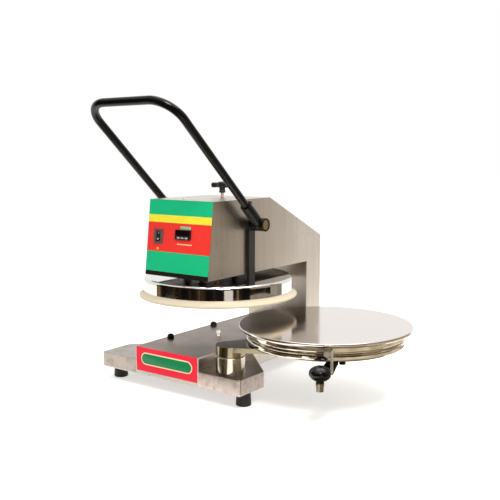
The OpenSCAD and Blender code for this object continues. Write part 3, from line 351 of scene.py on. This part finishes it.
# Turned, plated and polished steel: mirrors, clear in chrome and a little warm on the post and the drum
turned_steel = turned_metal("stainless_bar_turned", "D6CCBC", 0.13, ring_mm=1.0, ring_strength=0.03)
chrome = turned_metal("steel_bright_chrome_plated", "E4E2DE", 0.05)
drum_chrome = turned_metal("steel_drum_polished", "EAE2D2", 0.07, PLATEN_CENTRE)
# The pressing face: a softened mirror with fine rings about its centre
platen_polish = turned_metal("platen_face_polished", "EBE2DC", 0.12, PLATEN_CENTRE, ring_mm=1.4,
                             ring_strength=0.03)
# Dark nickel on the ferrule under the pull knob, and matt pale zinc on the rod and bolts higher up
PALE_ZINC, ZINC_ROUGH = "F6F0E6", 0.60
nickel = turned_metal("steel_nickel_and_zinc_plated", "857B6D", 0.10, ring_mm=0.7, ring_strength=0.03,
                      upper=(PULL_KNOB_LOW, PALE_ZINC, ZINC_ROUGH))
# Zinc on the adjusting screw: a pale, blurred gleam
zinc = turned_metal("steel_zinc_plated", "EFE8DC", 0.42, ring_mm=0.7, ring_strength=0.03)
# Bearing bronze and brass: dull yellow-brown spots on the hubs and terminals
bronze = turned_metal("bearing_bronze_turned", "A58A5E", 0.30, ring_mm=0.7, ring_strength=0.1)
brass = turned_metal("brass_turned", "C7A763", 0.22, ring_mm=0.7, ring_strength=0.08)
# Springs: dark, with an oily gleam
spring_steel = turned_metal("spring_steel_oiled", "6A6A6E", 0.30, ring_strength=0.0)
# The arm: a dull top in a dark brown of painted shade, and turned sides in a paler tone of painted light
arm_steel = ground_plate("stainless_plate_ground", "5E5443", "958A73")

# Black coats: glossy on the lever, so that thin highlights run along it, and satin on plates
powder_black = coated("powder_coat_black_gloss", "0E0C0A", 0.13, ior=1.5, peel_mm=9.0, peel=0.01, gloss=0.2,
                      edge_mm=0.0)
cast_black = coated("cast_iron_powder_coated", "0E0D0B", 0.26, ior=1.5, peel_mm=1.6, peel=0.05, gloss=0.2,
                    edge_mm=1.2)
satin_black = coated("enamel_black_satin", "1B1A16", 0.45, ior=1.5, peel_mm=1.2, peel=0.12)
underside_grey = coated("enamel_dark_grey_satin", "4E463D", 0.40, ior=1.5, peel_mm=1.2, peel=0.1)
# Pale coats: the warm cream rim of the upper platen, and the grey of its heated face
pale_rim = coated("aluminium_cast_pale_coated", "DACDB2", 0.40, ior=1.5, peel_mm=2.0, peel=0.08, patch=0.05)
nonstick = coated("nonstick_coating_grey", "6E6458", 0.42, ior=1.4, peel_mm=1.0, peel=0.1)

# Mouldings: matt rubber, satin nylon and a ball knob with one sharp highlight
rubber_black = coated("rubber_moulded_black", "1B1B1C", 0.62, ior=1.52, peel_mm=0.8, peel=0.25)
plastic_black = coated("nylon_moulded_black", "1D1D1F", 0.40, ior=1.53, peel_mm=0.6, peel=0.15)
plastic_grey = coated("nylon_moulded_grey", "5B5653", 0.42, ior=1.53, peel_mm=0.6, peel=0.12)
phenolic_black = coated("phenolic_moulded_black", "0C0C0C", 0.12, ior=1.6, peel_mm=3.0, peel=0.01,
                        patch=0.05, gloss=0.3, edge_mm=0.0)
# Pale plastics: a smooth white stud and finely grained keys
stud_white = coated("acetal_turned_white", "F3EDE0", 0.30, ior=1.48, peel_mm=0.7, peel=0.05, patch=0.03)
key_grey = coated("abs_moulded_pale_grey", "B9B9B4", 0.35, ior=1.54, peel_mm=0.7, peel=0.1, patch=0.04)
# Acrylic: a clear top layer over a nearly black window and an orange lens
display_dark = coated("acrylic_smoked_window", "120B0C", 0.08, ior=1.49, peel_mm=4.0, peel=0.01, patch=0.04,
                      coat=0.4)
lamp_amber = coated("acrylic_amber_lens", "FF9A1E", 0.12, ior=1.49, peel_mm=3.0, peel=0.02, patch=0.05,
                    coat=0.4)
# White ink: plain matt marks
mark_white = coated("ink_white", "E9E9E6", 0.5, ior=1.5, peel_mm=0.8, peel=0.05, patch=0.03)

# Films: strong flat colours
label_red = printed_film("film_printed_red", "FB2440", gloss=FILM_GLOSS)
label_green = printed_film("film_printed_green", "0E8A52", gloss=FILM_GLOSS)
label_cream = printed_film("film_printed_cream", "F3E6B8", rough=0.40)
plate_green = printed_film("film_printed_pale_green", "8FC9A0")
GREEN, YELLOW, RED, FILM_BLACK = "12C083", "FDEB3D", "F5382E", "20160F"
PANEL_BANDS = [(0.0, FILM_BLACK), (0.055, GREEN), (0.32, RED), (0.70, YELLOW), (0.80, GREEN)]
panel_film = banded_film("polyester_film_printed", PANEL_BANDS, HEAD_LOW, HEAD_TOP)

FINISH = {
    side_steel: ["housing_left", "housing_right", "column_cover", "rear_cover", "control_panel"],
    roof_steel: ["housing_wrap"],
    spine_steel: ["base_spine", "base_bottom_plate"],
    wing_steel: ["base_wing_left"],
    right_wing_steel: ["base_wing_right"],
    turned_steel: ["pivot_post"],
    arm_steel: ["swing_arm"],
    stud_white: ["centre_stud"],
    zinc: ["adjust_screw"],
    chrome: ["platen_cover", "pivot_pin", "guide_posts", "cross_shaft", "foot_screws"],
    nickel: ["pull_stud"],
    drum_chrome: ["platen_drum"],
    platen_polish: ["lower_platen"],
    pale_rim: ["upper_platen"],
    powder_black: ["lever_tube", "pull_bracket"],
    cast_black: ["hub_left", "hub_right", "socket_bolts"],
    underside_grey: ["head_underside"],
    satin_black: ["frame_plate_left", "frame_plate_right", "guide_plate", "bridge_plate",
                  "link_left", "link_right"],
    rubber_black: ["feet", "bumpers"],
    phenolic_black: ["pull_knob"],
    plastic_black: ["adjust_knob", "power_rocker", "controller_body", "cord_gland"],
    plastic_grey: ["switch_frame"],
    bronze: ["guide_bushes", "link_bushes", "arm_bush", "hub_caps"],
    brass: ["heater_terminals"],
    ground_steel: ["reaction_beam", "cams", "spring_collars", "ring_heater"],
    spring_steel: ["return_springs"],
    panel_film: ["panel_overlay"],
    label_red: ["base_label"],
    display_dark: ["controller_window"],
    lamp_amber: ["pilot_lamp"],
    key_grey: ["button_left", "button_middle", "button_right"],
}
for material, names in FINISH.items():
    for name in names:
        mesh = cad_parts[name].data
        mesh.materials.clear()
        mesh.materials.append(material)


SHARP_FROM = math.radians(35)


def stand(name, shape, material):
    """Makes an object of a bmesh, which it uses up, and puts it in the scene."""
    mesh = bpy.data.meshes.new(name)
    shape.to_mesh(mesh)
    shape.free()
    mesh.materials.append(material)
    made = bpy.data.objects.new(name, mesh)
    scene.collection.objects.link(made)
    return made


def piece(name, mesh_maker, material, body, matrix=None):
    """Makes a piece from a bmesh, places it, and rides it on a body."""
    shape = bmesh.new()
    mesh_maker(shape)
    if matrix is not None:
        bmesh.ops.transform(shape, matrix=matrix, verts=shape.verts)
    bmesh.ops.recalc_face_normals(shape, faces=shape.faces)
    for face in shape.faces:
        face.smooth = True
    made = stand(name, shape, material)
    made.data.set_sharp_from_angle(angle=SHARP_FROM)
    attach(made, body)
    return made


def prism(shape, outline, low, high, bevel=0.0):
    """A closed prism over an outline in millimetres, with its top edge bevelled."""
    floor = [shape.verts.new((x * MM, y * MM, low * MM)) for x, y in outline]
    face = shape.faces.new(floor)
    top = bmesh.ops.extrude_face_region(shape, geom=[face])["geom"]
    rise = [v for v in top if isinstance(v, bmesh.types.BMVert)]
    bmesh.ops.translate(shape, verts=rise, vec=(0, 0, (high - low) * MM))
    if bevel:
        edges = [e for e in shape.edges if all(v in rise for v in e.verts)]
        bmesh.ops.bevel(shape, geom=edges, offset=bevel * MM, segments=2, profile=0.5, affect="EDGES")


def skin(shape, first, second):
    """Joins two closed rows of vertices with a band of faces."""
    for i in range(len(first)):
        j = (i + 1) % len(first)
        shape.faces.new((first[i], first[j], second[j], second[i]))


def lofted(shape, loops):
    """A closed skin over loops of points in millimetres, with a flat cap on the first and the last."""
    rows = [[shape.verts.new(Vector(point) * MM) for point in loop] for loop in loops]
    shape.faces.new(rows[0])
    shape.faces.new(rows[-1])
    for first, second in zip(rows, rows[1:]):
        skin(shape, first, second)


def ring(shape, outer, inner, low, high):
    """A flat ring between two outlines of as many points, with square edges."""
    corners = [(inner, low), (outer, low), (outer, high), (inner, high)]
    rows = [[shape.verts.new((x * MM, y * MM, z * MM)) for x, y in outline] for outline, z in corners]
    for first, second in zip(rows, rows[1:] + rows[:1]):
        skin(shape, first, second)


def arc(begin, sweep, steps):
    """Angles along an arc, given in degrees, with both ends."""
    return [math.radians(begin + sweep * i / steps) for i in range(steps + 1)]


def regular(count, r):
    """Outline of a regular polygon."""
    turns = [math.tau * i / count for i in range(count)]
    return [(r * math.cos(t), r * math.sin(t)) for t in turns]


def pill(half_w, half_h, steps=16):
    """Outline of a bar with round ends."""
    points = []
    for side in (1, -1):
        for t in arc(-90, 180, steps):
            points.append((side * (half_w - half_h + half_h * math.cos(t)), side * half_h * math.sin(t)))
    return points


def rounded(half_w, half_h, r, steps=6):
    """Outline of a rectangle with round corners."""
    points = []
    for cx, cy, begin in ((1, -1, -90), (1, 1, 0), (-1, 1, 90), (-1, -1, 180)):
        for t in arc(begin, 90, steps):
            points.append((cx * (half_w - r) + r * math.cos(t), cy * (half_h - r) + r * math.sin(t)))
    return points


def lathed(shape, profile, count=40, foot=(0.0, 0.0, 0.0)):
    """A turned form: circles of the given (radius, height) pairs above a foot, from the bottom up."""
    x, y, z = foot
    lofted(shape, [[(x + px, y + py, z + h) for px, py in regular(count, r)] for r, h in profile])


def on_panel(u, v):
    """Matrix that lays a flat piece on the control panel, u across and v up from its lower edge."""
    tilt = Matrix.Rotation(math.pi / 2 - PANEL_LEAN, 4, "X")
    slide = Matrix.Translation((u * MM, v * MM, 0))
    return Matrix.Translation(press(0, PANEL_LOW_Y, HEAD_LOW)) @ tilt @ slide


def facing_front(x, y, z):
    """Matrix that lays a flat piece on an upright front face."""
    return Matrix.Translation(press(x, y, z)) @ Matrix.Rotation(math.pi / 2, 4, "X")


# Front label: a green pill with a cream edge, on red
PILL_HALF_W, PILL_HALF_H, PILL_EDGE = 93.5, 17.5, 3.5
BORDER_T, FIELD_T, FILM_BEVEL = 0.25, 0.2, 0.1
pill_place = facing_front(0, LABEL_FACE, (LABEL_LOW + SPINE_TOP) / 2)
border = pill(PILL_HALF_W, PILL_HALF_H)
field = pill(PILL_HALF_W - PILL_EDGE, PILL_HALF_H - PILL_EDGE)
piece("label_border", lambda s: prism(s, border, 0, BORDER_T, FILM_BEVEL), label_cream,
      "frame", pill_place)
piece("label_field", lambda s: prism(s, field, BORDER_T, BORDER_T + FIELD_T, FILM_BEVEL), label_green,
      "frame", pill_place)

# Strip that carries the label down over the foot of the spine's front
LABEL_FOOT = 49.5
FOOT_CORNER = 0.2
foot_half = (LABEL_LOW - LABEL_FOOT) / 2
foot = rounded(HEAD_HALF_W, foot_half, FOOT_CORNER)
piece("label_foot", lambda s: prism(s, foot, 0, LABEL_T), label_red,
      "frame", facing_front(0, BASE_FRONT, LABEL_FOOT + foot_half))

# Bare plates on the panel, above and below the controller
PLATE_HALF_W, PLATE_HALF_H, PLATE_CORNER, PLATE_T, PLATE_BEVEL = 19.0, 4.2, 1.5, 0.4, 0.15
PLATE_U, PLATE_V = 24.4, 137.0
plate = rounded(PLATE_HALF_W, PLATE_HALF_H, PLATE_CORNER)
piece("panel_plate", lambda s: prism(s, plate, FILM_T, FILM_T + PLATE_T, PLATE_BEVEL), plate_green,
      "frame", on_panel(PLATE_U, PLATE_V))
BAR_HALF_W, BAR_HALF_H, BAR_T = 26.5, 1.1, 0.3
BAR_U, BAR_V = 23.0, 92.0
bar = pill(BAR_HALF_W, BAR_HALF_H)
piece("panel_bar", lambda s: prism(s, bar, FILM_T, FILM_T + BAR_T, FILM_BEVEL), label_cream,
      "frame", on_panel(BAR_U, BAR_V))

# Bends of the spine, along its top and beside the label: pale strips of painted highlight
BEND_T = 0.3
TOP_LEG, TOP_BEND_R, TOP_END_GAP = 3.2, 1.5, 0.5
FRONT_LEG, FRONT_BEND_R = 2.6, 1.2


def bend(leg_in, leg_out, r, steps=6):
    """Outline of a thin strip bent over a square corner, which lies at the origin."""
    mid = BEND_T - r
    turned = [(mid + r * math.sin(t), mid + r * math.cos(t)) for t in arc(0, 90, steps)]
    return [(-leg_in, 0), (-leg_in, BEND_T)] + turned + [(BEND_T, -leg_out), (0, -leg_out), (0, 0)]


top_bend = bend(TOP_LEG, TOP_LEG, TOP_BEND_R)
front_bend = bend(FRONT_LEG, LABEL_T, FRONT_BEND_R)
for word, side in (("left", -1), ("right", 1)):
    along = [[(side * u, y, v) for u, v in top_bend] for y in (BASE_FRONT, COLUMN_FRONT - TOP_END_GAP)]
    piece("spine_bend_" + word, lambda s: lofted(s, along), bend_highlight_steel, "frame",
          Matrix.Translation(press(side * HEAD_HALF_W, 0, SPINE_TOP)))
    upright = [[(side * u, -v, z) for u, v in front_bend] for z in (LABEL_FOOT, SPINE_TOP)]
    piece("spine_corner_" + word, lambda s: lofted(s, upright), bend_highlight_steel, "frame",
          Matrix.Translation(press(side * HEAD_HALF_W, LABEL_FACE, 0)))

# Non-stick coating on the heated face of the upper platen
COATING_IN, COATING_T, COATING_SIDES = 7.0, 0.3, 96
coating = regular(COATING_SIDES, UPPER_R - COATING_IN)
piece("platen_coating", lambda s: prism(s, coating, -COATING_T, COATING_T), nonstick,
      "carriage", Matrix.Translation(press(0, 0, UPPER_FACE)))

# Marks on the two ends of the power rocker: a bar for on and a ring for off
SWITCH_U, SWITCH_V = -72.0, 110.0
ROCKER_AXIS, ROCKER_TILT = -3.0, math.radians(-7)
ROCKER_RISE, ROCKER_RUN = 1.4, 6.5
MARK_V, MARK_W, MARK_SLOPE = 8.5, 5.63, math.atan2(ROCKER_RISE, ROCKER_RUN)
MARK_R, MARK_HOLE_R, MARK_HALF_W = 2.6, 1.5, 0.7
MARK_LOW, MARK_HIGH, MARK_CORNER, MARK_BEVEL, MARK_SIDES = -0.1, 0.12, 0.3, 0.05, 32


def on_rocker(side):
    """Matrix that lays a flat mark on the upper (1) or lower (-1) face of the rocker."""
    rock = Matrix.Translation((0, 0, ROCKER_AXIS * MM)) @ Matrix.Rotation(ROCKER_TILT, 4, "X")
    slope = Matrix.Rotation(side * MARK_SLOPE, 4, "X")
    face = Matrix.Translation((0, side * MARK_V * MM, MARK_W * MM)) @ slope
    return on_panel(SWITCH_U, SWITCH_V) @ rock @ face


mark_bar = rounded(MARK_HALF_W, MARK_R, MARK_CORNER)
mark_out, mark_in = regular(MARK_SIDES, MARK_R), regular(MARK_SIDES, MARK_HOLE_R)
piece("rocker_mark_on", lambda s: prism(s, mark_bar, MARK_LOW, MARK_HIGH, MARK_BEVEL), mark_white, "rocker",
      on_rocker(1))
piece("rocker_mark_off", lambda s: ring(s, mark_out, mark_in, MARK_LOW, MARK_HIGH), mark_white, "rocker",
      on_rocker(-1))

# Adjusting knob: a moulded T-grip with flared ends and a crown, on a collared stem
grip_low, grip_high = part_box("adjust_knob")
grip_foot = Vector(((grip_low[0] + grip_high[0]) / 2, (grip_low[1] + grip_high[1]) / 2, grip_low[2]))
GRIP_HALF = (grip_high[0] - grip_low[0]) / 2 / MM
GRIP_DROP = 9.0
GRIP_MID = (grip_high[2] - grip_low[2]) / MM - GRIP_DROP
# Half of the grip, end first: distance in from the end, half depth, half height, rise of the middle
GRIP_SECTIONS = [(0.0, 6.0, 4.6, 0.0), (0.5, 7.4, 6.1, 0.0), (1.6, 8.2, 7.2, 0.0), (5.0, 8.5, 7.6, 0.0),
                 (10.0, 8.0, 7.5, 0.1), (15.0, 7.3, 7.2, 0.3), (20.0, 7.3, 7.3, 0.7), (24.0, 8.2, 7.9, 1.1),
                 (28.0, 9.6, 8.7, 1.4), (32.0, 10.6, 9.3, 1.6)]
# The stem from the bottom up: radius, height
STEM = [(8.0, 1.5), (9.0, 2.1), (9.3, 3.0), (9.3, 6.0), (9.0, 6.8), (8.5, 7.6), (8.3, 11.0), (8.7, 15.0),
        (9.6, 19.0)]


def squarish(half_y, half_z, count=40, power=0.62):
    """Outline across the T-grip: an oval that is nearly a rectangle."""
    return [(half_y * math.copysign(abs(c) ** power, c), half_z * math.copysign(abs(s) ** power, s))
            for c, s in regular(count, 1.0)]


half_grip = [(inset - GRIP_HALF, half_y, half_z, up) for inset, half_y, half_z, up in GRIP_SECTIONS]
other_half = [(-x, half_y, half_z, up) for x, half_y, half_z, up in reversed(half_grip)]
grip_loops = [[(x, y, z + GRIP_MID + up) for y, z in squarish(half_y, half_z)]
              for x, half_y, half_z, up in half_grip + other_half]
grip = piece("adjust_knob_grip", lambda s: lofted(s, grip_loops), plastic_black, "adjuster",
             Matrix.Translation(grip_foot))
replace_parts(grip, "adjust_knob")
piece("adjust_knob_stem", lambda s: lathed(s, STEM), plastic_black, "adjuster",
      Matrix.Translation(grip_foot))

# Bumpers: low rubber domes
bumper_low, bumper_high = [[value / MM for value in corner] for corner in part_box("bumpers")]
BUMPER_R = 10.0
BUMPER_H = bumper_high[2] - bumper_low[2]
BUMPER_SIDE = 3.0
BUMPER_TIP_R = 0.4
DOME_STEPS, DOME_POWER, DOME_SIDES = 10, 0.8, 32


def four_domes(shape):
    """Rubber domes at the four corners of the bumpers' square."""
    dome = [(BUMPER_R, 0.0)]
    for t in arc(0, 90, DOME_STEPS)[:-1]:
        dome.append((BUMPER_R * math.cos(t) ** DOME_POWER,
                     BUMPER_SIDE + (BUMPER_H - BUMPER_SIDE) * math.sin(t)))
    dome.append((BUMPER_TIP_R, BUMPER_H))
    for x in (bumper_low[0] + BUMPER_R, bumper_high[0] - BUMPER_R):
        for y in (bumper_low[1] + BUMPER_R, bumper_high[1] - BUMPER_R):
            lathed(shape, dome, DOME_SIDES, (x, y, bumper_low[2]))


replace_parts(piece("bumpers_domed", four_domes, rubber_black, "frame"), "bumpers")

# Small fasteners, with a screw head from its rim to the foot of its recess as shares of radius and height
SCREW_HEAD = [(1.0, 0.0), (0.94, 0.55), (0.7, 0.9), (0.42, 1.0), (0.22, 0.45)]
SCREW_SIDES = 24


def screw(name, body, matrix, r=5.0, h=2.6):
    """A low domed screw head with a round recess."""
    profile = [(share_r * r, share_h * h) for share_r, share_h in SCREW_HEAD]
    return piece(name, lambda s: lathed(s, profile, SCREW_SIDES), chrome, body, matrix)


ROOF_SCREW_X, ROOF_SCREW_Y = -32.0, -112.0
screw("roof_screw", "frame", Matrix.Translation(press(ROOF_SCREW_X, ROOF_SCREW_Y, HEAD_TOP)))
cover_low, cover_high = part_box("rear_cover")
SCREW_IN = 11 * MM
REAR_SCREW_R, REAR_SCREW_H = 4.0, 2.2
facing_back = Matrix.Rotation(-math.pi / 2, 4, "X")
columns = (cover_low[0] + SCREW_IN, cover_high[0] - SCREW_IN)
heights = (cover_low[2] + SCREW_IN, (cover_low[2] + cover_high[2]) / 2, cover_high[2] - SCREW_IN)
for i, (x, z) in enumerate((x, z) for x in columns for z in heights):
    screw("rear_screw_%d" % i, "frame", Matrix.Translation((x, cover_high[1], z)) @ facing_back,
          REAR_SCREW_R, REAR_SCREW_H)
DRUM_BOLT_OUT, DRUM_BOLT_TURN = 195.0, math.radians(-47)
BOLT_R, BOLT_H, BOLT_BEVEL = 9.0, 8.0, 0.8
bolt_place = Vector((PLATEN_CENTRE[0] + DRUM_BOLT_OUT * MM * math.cos(DRUM_BOLT_TURN),
                     PLATEN_CENTRE[1] + DRUM_BOLT_OUT * MM * math.sin(DRUM_BOLT_TURN), DRUM_LOW * MM))
piece("drum_bolt", lambda s: prism(s, regular(6, BOLT_R), 0, BOLT_H, BOLT_BEVEL), powder_black, "lower",
      Matrix.Translation(bolt_place) @ Matrix.Rotation(math.pi, 4, "X"))

# Return springs that close up over the press travel, with free play for the lowest thickness setting
FREE_PLAY = 3.2
coil_low, coil_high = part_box("return_springs")
coil_len = (coil_high[2] - coil_low[2]) / MM
springs = bpy.data.objects.new("return_springs_wound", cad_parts["return_springs"].data.copy())
coil_foot = Matrix.Translation(coil_low)
shorter = Matrix.Diagonal((1, 1, 1 - FREE_PLAY / coil_len, 1))
springs.data.transform(coil_foot @ shorter @ coil_foot.inverted())
scene.collection.objects.link(springs)
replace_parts(springs, "return_springs")
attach(springs, "frame")
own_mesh(springs)


def aimed(made, place, target):
    """Puts a camera or a lamp at a place of the press frame and turns it to a target."""
    made.location = press(*place)
    made.rotation_euler = (press(*target) - made.location).to_track_quat("-Z", "Y").to_euler()


# Camera, from a fit of the photograph's view
LENS_MM, SENSOR_MM = 55.07, 36.0
CAMERA_PLACE, CAMERA_TARGET = (1383.7, -1733.3, 653.5), (116.3, -1.6, 382.4)
FAR_M = 50.0
camera = bpy.data.objects.new("camera", bpy.data.cameras.new("camera"))
scene.collection.objects.link(camera)
camera.data.lens = LENS_MM
camera.data.sensor_width = SENSOR_MM
camera.data.clip_end = FAR_M
aimed(camera, CAMERA_PLACE, CAMERA_TARGET)
scene.camera = camera

# Floor and world: white to the camera and in reflections, a plain level of light on the object
scene.view_settings.view_transform = "Standard"
WHITE = "FFFFFF"
FLOOR_WHITE = "F4F2EF"
FLOOR_GLOW = 0.54
FLOOR_HALF_M, FLOOR_LOW_M = 20.0, -0.0005
AMBIENT, FULL_WHITE = 0.55, 1.0


def seen_directly(tree):
    """One where a camera, glossy or transmission ray looks, and zero where light is gathered."""
    path = add(tree, "ShaderNodeLightPath").node.outputs
    seen = path["Is Camera Ray"]
    for kind in ("Is Glossy Ray", "Is Transmission Ray"):
        seen = add(tree, "ShaderNodeMath", {0: seen, 1: path[kind]}, operation="MAXIMUM")
    return seen


# White paper: matt, with a glow that keeps it white around the shadow
floor_paint, tree = start("floor_white_paper")
matte = add(tree, "ShaderNodeBsdfDiffuse", {"Color": linear(FLOOR_WHITE)})
glow = add(tree, "ShaderNodeMath", {0: seen_directly(tree), 1: FLOOR_GLOW}, operation="MULTIPLY")
lift = add(tree, "ShaderNodeEmission", {"Color": linear(WHITE), "Strength": glow})
close(floor_paint, tree, add(tree, "ShaderNodeAddShader", {0: matte, 1: lift}))
sheet = bmesh.new()
sheet.faces.new([sheet.verts.new((x * FLOOR_HALF_M, y * FLOOR_HALF_M, FLOOR_LOW_M))
                 for x, y in ((-1, -1), (1, -1), (1, 1), (-1, 1))])
stand("floor", sheet, floor_paint)

world = bpy.data.worlds.new("studio")
scene.world = world
world.use_nodes = True
tree = world.node_tree
tree.nodes.clear()
level = add(tree, "ShaderNodeMapRange", {"Value": seen_directly(tree), "To Min": AMBIENT,
                                         "To Max": FULL_WHITE})
sky = add(tree, "ShaderNodeBackground", {"Color": linear(WHITE), "Strength": level})
add(tree, "ShaderNodeOutputWorld", {"Surface": sky})


def soft_lamp(name, place, target, size_m, watts, colour=WHITE, beam=180.0):
    """A square softbox aimed at a point, both in the press frame, with its beam in degrees."""
    light = bpy.data.lights.new(name, "AREA")
    light.energy = watts
    light.size = size_m
    light.spread = math.radians(beam)
    light.color = linear(colour)[:3]
    lamp = bpy.data.objects.new(name, light)
    scene.collection.objects.link(lamp)
    aimed(lamp, place, target)


# A warm key from the front right, a wide fill from above, and a narrow beam for the stud in the shade
WARM_WHITE = "FFFBF4"
soft_lamp("key_softbox", place=(1300, -1180, 2160), target=(80, 0, 300), size_m=0.7, watts=34,
          colour=WARM_WHITE)
soft_lamp("top_softbox", place=(300, 200, 2200), target=(100, 0, 200), size_m=1.8, watts=24)
soft_lamp("stud_snoot", place=(1130, -1420, 480), target=(0, 0, 127), size_m=0.04, watts=0.006, beam=2.0)

CAMERA_SIDE = math.degrees(math.atan2(camera.location.y - AXIS_Y, camera.location.x - AXIS_X))
CARD_STEPS = 24


def room_card(name, begin, end, near, far, tones):
    """A card of the dark room in front of the set, which polished metal mirrors: soft upright patches of
    the given tones. The camera and the light on the object don't meet it. Angles count from the camera's
    side, about the press axis; near and far are the card's edges as (radius, height)."""
    wide_mm, tall_mm = 350.0, 1200.0
    paper, tree = start(name + "_paper")
    place = add(tree, "ShaderNodeTexCoord", out="Object")
    steps = [scale_of(size) for size in (wide_mm, wide_mm, tall_mm)]
    run = add(tree, "ShaderNodeMapping", {"Vector": place, "Scale": steps})
    patches = add(tree, "ShaderNodeTexNoise", {"Vector": run, "Scale": 1.0, "Detail": 2.0})
    tone = add(tree, "ShaderNodeValToRGB", {0: patches})
    set_stops(tone.node.color_ramp, tones)
    close(paper, tree, add(tree, "ShaderNodeEmission", {"Color": tone}))
    card = bmesh.new()
    turns = arc(CAMERA_SIDE + begin, end - begin, CARD_STEPS)
    rows = []
    for r, z in (near, far):
        rows.append([card.verts.new(press(r * math.cos(t), r * math.sin(t), z)) for t in turns])
    for i in range(CARD_STEPS):
        card.faces.new((rows[0][i], rows[0][i + 1], rows[1][i + 1], rows[1][i]))
    made = stand(name, card, paper)
    made.visible_camera = False
    made.visible_shadow = False
    made.visible_diffuse = False


# The room's tones, each as (share of the noise, colour)
DARK_WALL = [(0.30, "0C0D11"), (0.48, "17130F"), (0.58, "3A2B1A"), (0.66, "8C7650"), (0.74, "E4D6CC")]
UPPER_WALL = [(0.35, "14120F"), (0.65, "2B241C")]
DARK_FLOOR = [(0.35, "3A3226"), (0.65, "8A7C66")]
PALE_FLOOR = [(0.35, "A09278"), (0.65, "E6DAC4")]
SIDE_TONES = [(0.35, "8F8578"), (0.65, "B5ACA0")]
WINDOW_TONES = [(0.3, "E2D6CE"), (0.7, "F2EAE4")]
# Radii and heights of the cards' edges, in millimetres
POST_R, PLATEN_R, HALFWAY_R, WINDOW_R, WALL_R = 400, 720, 950, 1480, 1500
FLOOR_Z, WINDOW_LOW, WINDOW_TOP, DADO_TOP, WALL_TOP = 1, 2, 150, 220, 1500
room_card("room_floor", -60, 12, (HALFWAY_R, FLOOR_Z), (WALL_R, FLOOR_Z), DARK_FLOOR)
room_card("floor_right_of_platen", 12, 105, (PLATEN_R, FLOOR_Z), (WALL_R, FLOOR_Z), PALE_FLOOR)
room_card("floor_left_of_post", -70, -12, (POST_R, FLOOR_Z), (HALFWAY_R, FLOOR_Z), DARK_FLOOR)
room_card("floor_right_of_post", 12, 60, (POST_R, FLOOR_Z), (PLATEN_R, FLOOR_Z), DARK_FLOOR)
room_card("room_low", -100, 80, (WALL_R, 0), (WALL_R, DADO_TOP), DARK_WALL)
room_card("room_window", 8, 20, (WINDOW_R, WINDOW_LOW), (WINDOW_R, WINDOW_TOP), WINDOW_TONES)
room_card("room_front", -100, 45, (WALL_R, DADO_TOP), (WALL_R, WALL_TOP), UPPER_WALL)
room_card("room_right", 45, 80, (WALL_R, DADO_TOP), (WALL_R, WALL_TOP), SIDE_TONES)
room_card("room_end", 80, 106, (WALL_R, 0), (WALL_R, WALL_TOP), SIDE_TONES)
